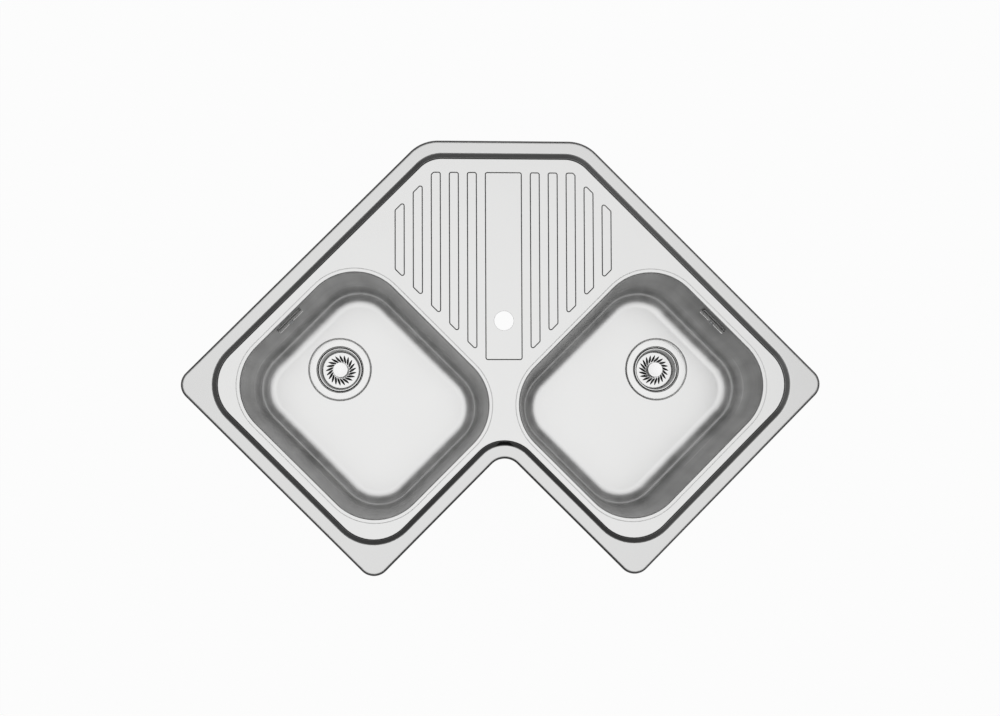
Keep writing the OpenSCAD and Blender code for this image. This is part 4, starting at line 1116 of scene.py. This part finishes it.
def pad(name, halfLong, halfWide, top, matrix, node):
    sheet = Pressing()
    s = padSize
    low = top - s["thick"]
    loops = []
    for d, z in ((0, top), (0, low + 0.7), (0.2, low + 0.2), (0.8, low), (3, low)):
        a, b = halfLong - d, halfWide - d
        loops.append(roundedLoop([(-a, -b), (a, -b), (a, b), (-a, b)], [s["corner"] - d] * 4, z, 8))
    made = sheet.strips(loops)
    sheet.flat([made[-1]])
    sheet.flat([made[0]])
    sheet.outward()
    piece = sheet.piece(name, finish["bitumen_pad"])
    placed(piece, matrix)
    dress(baked(piece), "root", "bitumen_pad", node)


def pads():
    s = padSize
    under = place["bowlFloor"] - bowlSize["sheet"]
    across = (bowlSize["y0"] + bowlSize["y1"]) / 2
    middle = shift((place["bowlMiddle"], across + s["off"], 0))
    pad("soundPadLeft", s["long"] / 2, s["wide"] / 2, under, middle, "sound_pad_left")
    pad("soundPadRight", s["long"] / 2, s["wide"] / 2, under, toRight @ middle, "sound_pad_right")
    diagonal = shift((place["wall"], place["wall"], 0)) @ Matrix.Rotation(quarter / 2, 4, "Z") @ \
        shift((s["drainerStart"] + s["drainerLong"] / 2, 0, 0))
    pad("soundPadDrainer", s["drainerLong"] / 2, s["drainerWide"] / 2, place["deck"] - topSize["sheet"], diagonal,
        "sound_pad_drainer")


pads()
print("stage: pads")


# finishes of the CAD nodes that stay

nodeStarts = {
    "foam_seal": ("rim_seal",), "zinc_steel": ("clamp_brackets", "clamp_claw"),
    "screw_steel": ("clamp_screw", "fixing_screws"), "stem_plastic": ("stopper_stem",),
    "seal_rubber": ("stopper_seal", "flange_seal", "cup_seal", "trap_seal", "pipe_washers", "overflow_gaskets"),
    "white_plastic": ("waste_cup", "overflow_housing", "branch_pipe", "tee", "trap_head", "outlet_pipe"),
}
for name, piece in nodes.items():
    for slot, starts in nodeStarts.items():
        if name.startswith(starts):
            for seat in piece.material_slots:
                seat.material = finish[slot]
print("stage: CAD finishes")


# floor, light and camera

studio = {
    "floorZ": -0.4875, "floorSize": 14.0, "floorGlow": 0.96, "lampSize": 4.2, "lampHeight": 2.7, "lampPower": 34.0,
    "zenith": 0.46, "horizon": 0.09, "fill": 0.20,
}


def studioFloor():
    mesh = bpy.data.meshes.new("studioFloor")
    half = studio["floorSize"] / 2
    z = studio["floorZ"]
    mesh.from_pydata([(-half, -half, z), (half, -half, z), (half, half, z), (-half, half, z)], [], [(0, 1, 2, 3)])
    material, tree = startMaterial("paleFloor")
    seen, glossy, through = (tree.add("ShaderNodeLightPath", out=ray) for ray in
                             ("Is Camera Ray", "Is Glossy Ray", "Is Transmission Ray"))
    seen = maths(tree, "MAXIMUM", maths(tree, "MAXIMUM", seen, glossy), through)
    paint = tree.add("ShaderNodeBsdfDiffuse", None, {"Color": (0.8, 0.8, 0.8, 1)})
    glow = tree.add("ShaderNodeEmission", None, {"Color": (1, 1, 1, 1), "Strength": 1.0})
    both = tree.add("ShaderNodeMixShader", None, {0: seen * studio["floorGlow"], 1: paint, 2: glow})
    tree.add("ShaderNodeOutputMaterial", None, {"Surface": both})
    mesh.materials.append(material)
    floor = addObject("studioFloor", mesh)


def studioLight():
    lamp = bpy.data.lights.new("softbox", "AREA")
    lamp.shape, lamp.size, lamp.energy = "SQUARE", studio["lampSize"], studio["lampPower"]
    softbox = addObject("softbox", lamp)
    softbox.location = (0.05, 0.05, studio["lampHeight"])
    softbox.rotation_euler = Euler((0, 0, math.radians(45)))

    world = bpy.data.worlds.new("studio")
    bpy.context.scene.world = world
    world.use_nodes = True
    world.node_tree.nodes.clear()
    tree = NodeTree(world.node_tree)
    towards = tree.add("ShaderNodeTexCoord", out=0)
    up = tree.add("ShaderNodeSeparateXYZ", None, {0: towards}, out=2)
    grey = tree.add("ShaderNodeValToRGB", {"stops": [
        (0.0, studio["fill"]), (0.5, studio["horizon"]), (0.75, studio["horizon"] * 1.3), (0.9, studio["zenith"] * 0.6),
        (1.0, studio["zenith"])]}, {"Fac": up * 0.5 + 0.5})
    seen = tree.add("ShaderNodeLightPath", out="Is Camera Ray")
    colour = tree.add("ShaderNodeMix", {"data_type": "RGBA"}, {0: seen, 6: grey, 7: (1, 1, 1, 1)}, out=2)
    background = tree.add("ShaderNodeBackground", None, {"Color": colour, "Strength": 1.0})
    tree.add("ShaderNodeOutputWorld", None, {"Surface": background})


cameraSet = {
    "right": -129.8, "up": -224.3, "high": 2154.2, "lens": 43.29, "shift": (0.0101, 0.0527),
    "tilt": (-1.663, 2.757, 0.184),  # world to camera, in degrees, as one turn about an axis
}


def photoCamera():
    c = cameraSet
    right, up, out = Vector((-1, 1, 0)) / math.sqrt(2), Vector((-1, -1, 0)) / math.sqrt(2), Vector((0, 0, 1))
    basis = Matrix((right, up, out)).transposed()
    tilt = Vector([math.radians(a) for a in c["tilt"]])
    turn = Matrix.Rotation(tilt.length, 3, tilt.normalized())
    spot = (right * c["right"] + up * c["up"] + out * c["high"]) * mm
    data = bpy.data.cameras.new("photoCamera")
    data.sensor_width, data.lens, data.clip_start, data.clip_end = 36, c["lens"], 0.05, 40
    data.shift_x, data.shift_y = c["shift"]
    camera = addObject("photoCamera", data)
    camera.matrix_world = shift(spot) @ (basis @ turn.transposed()).to_4x4()
    bpy.context.scene.camera = camera


studioFloor()
studioLight()
photoCamera()
view = bpy.context.scene.view_settings
view.view_transform = "Standard"
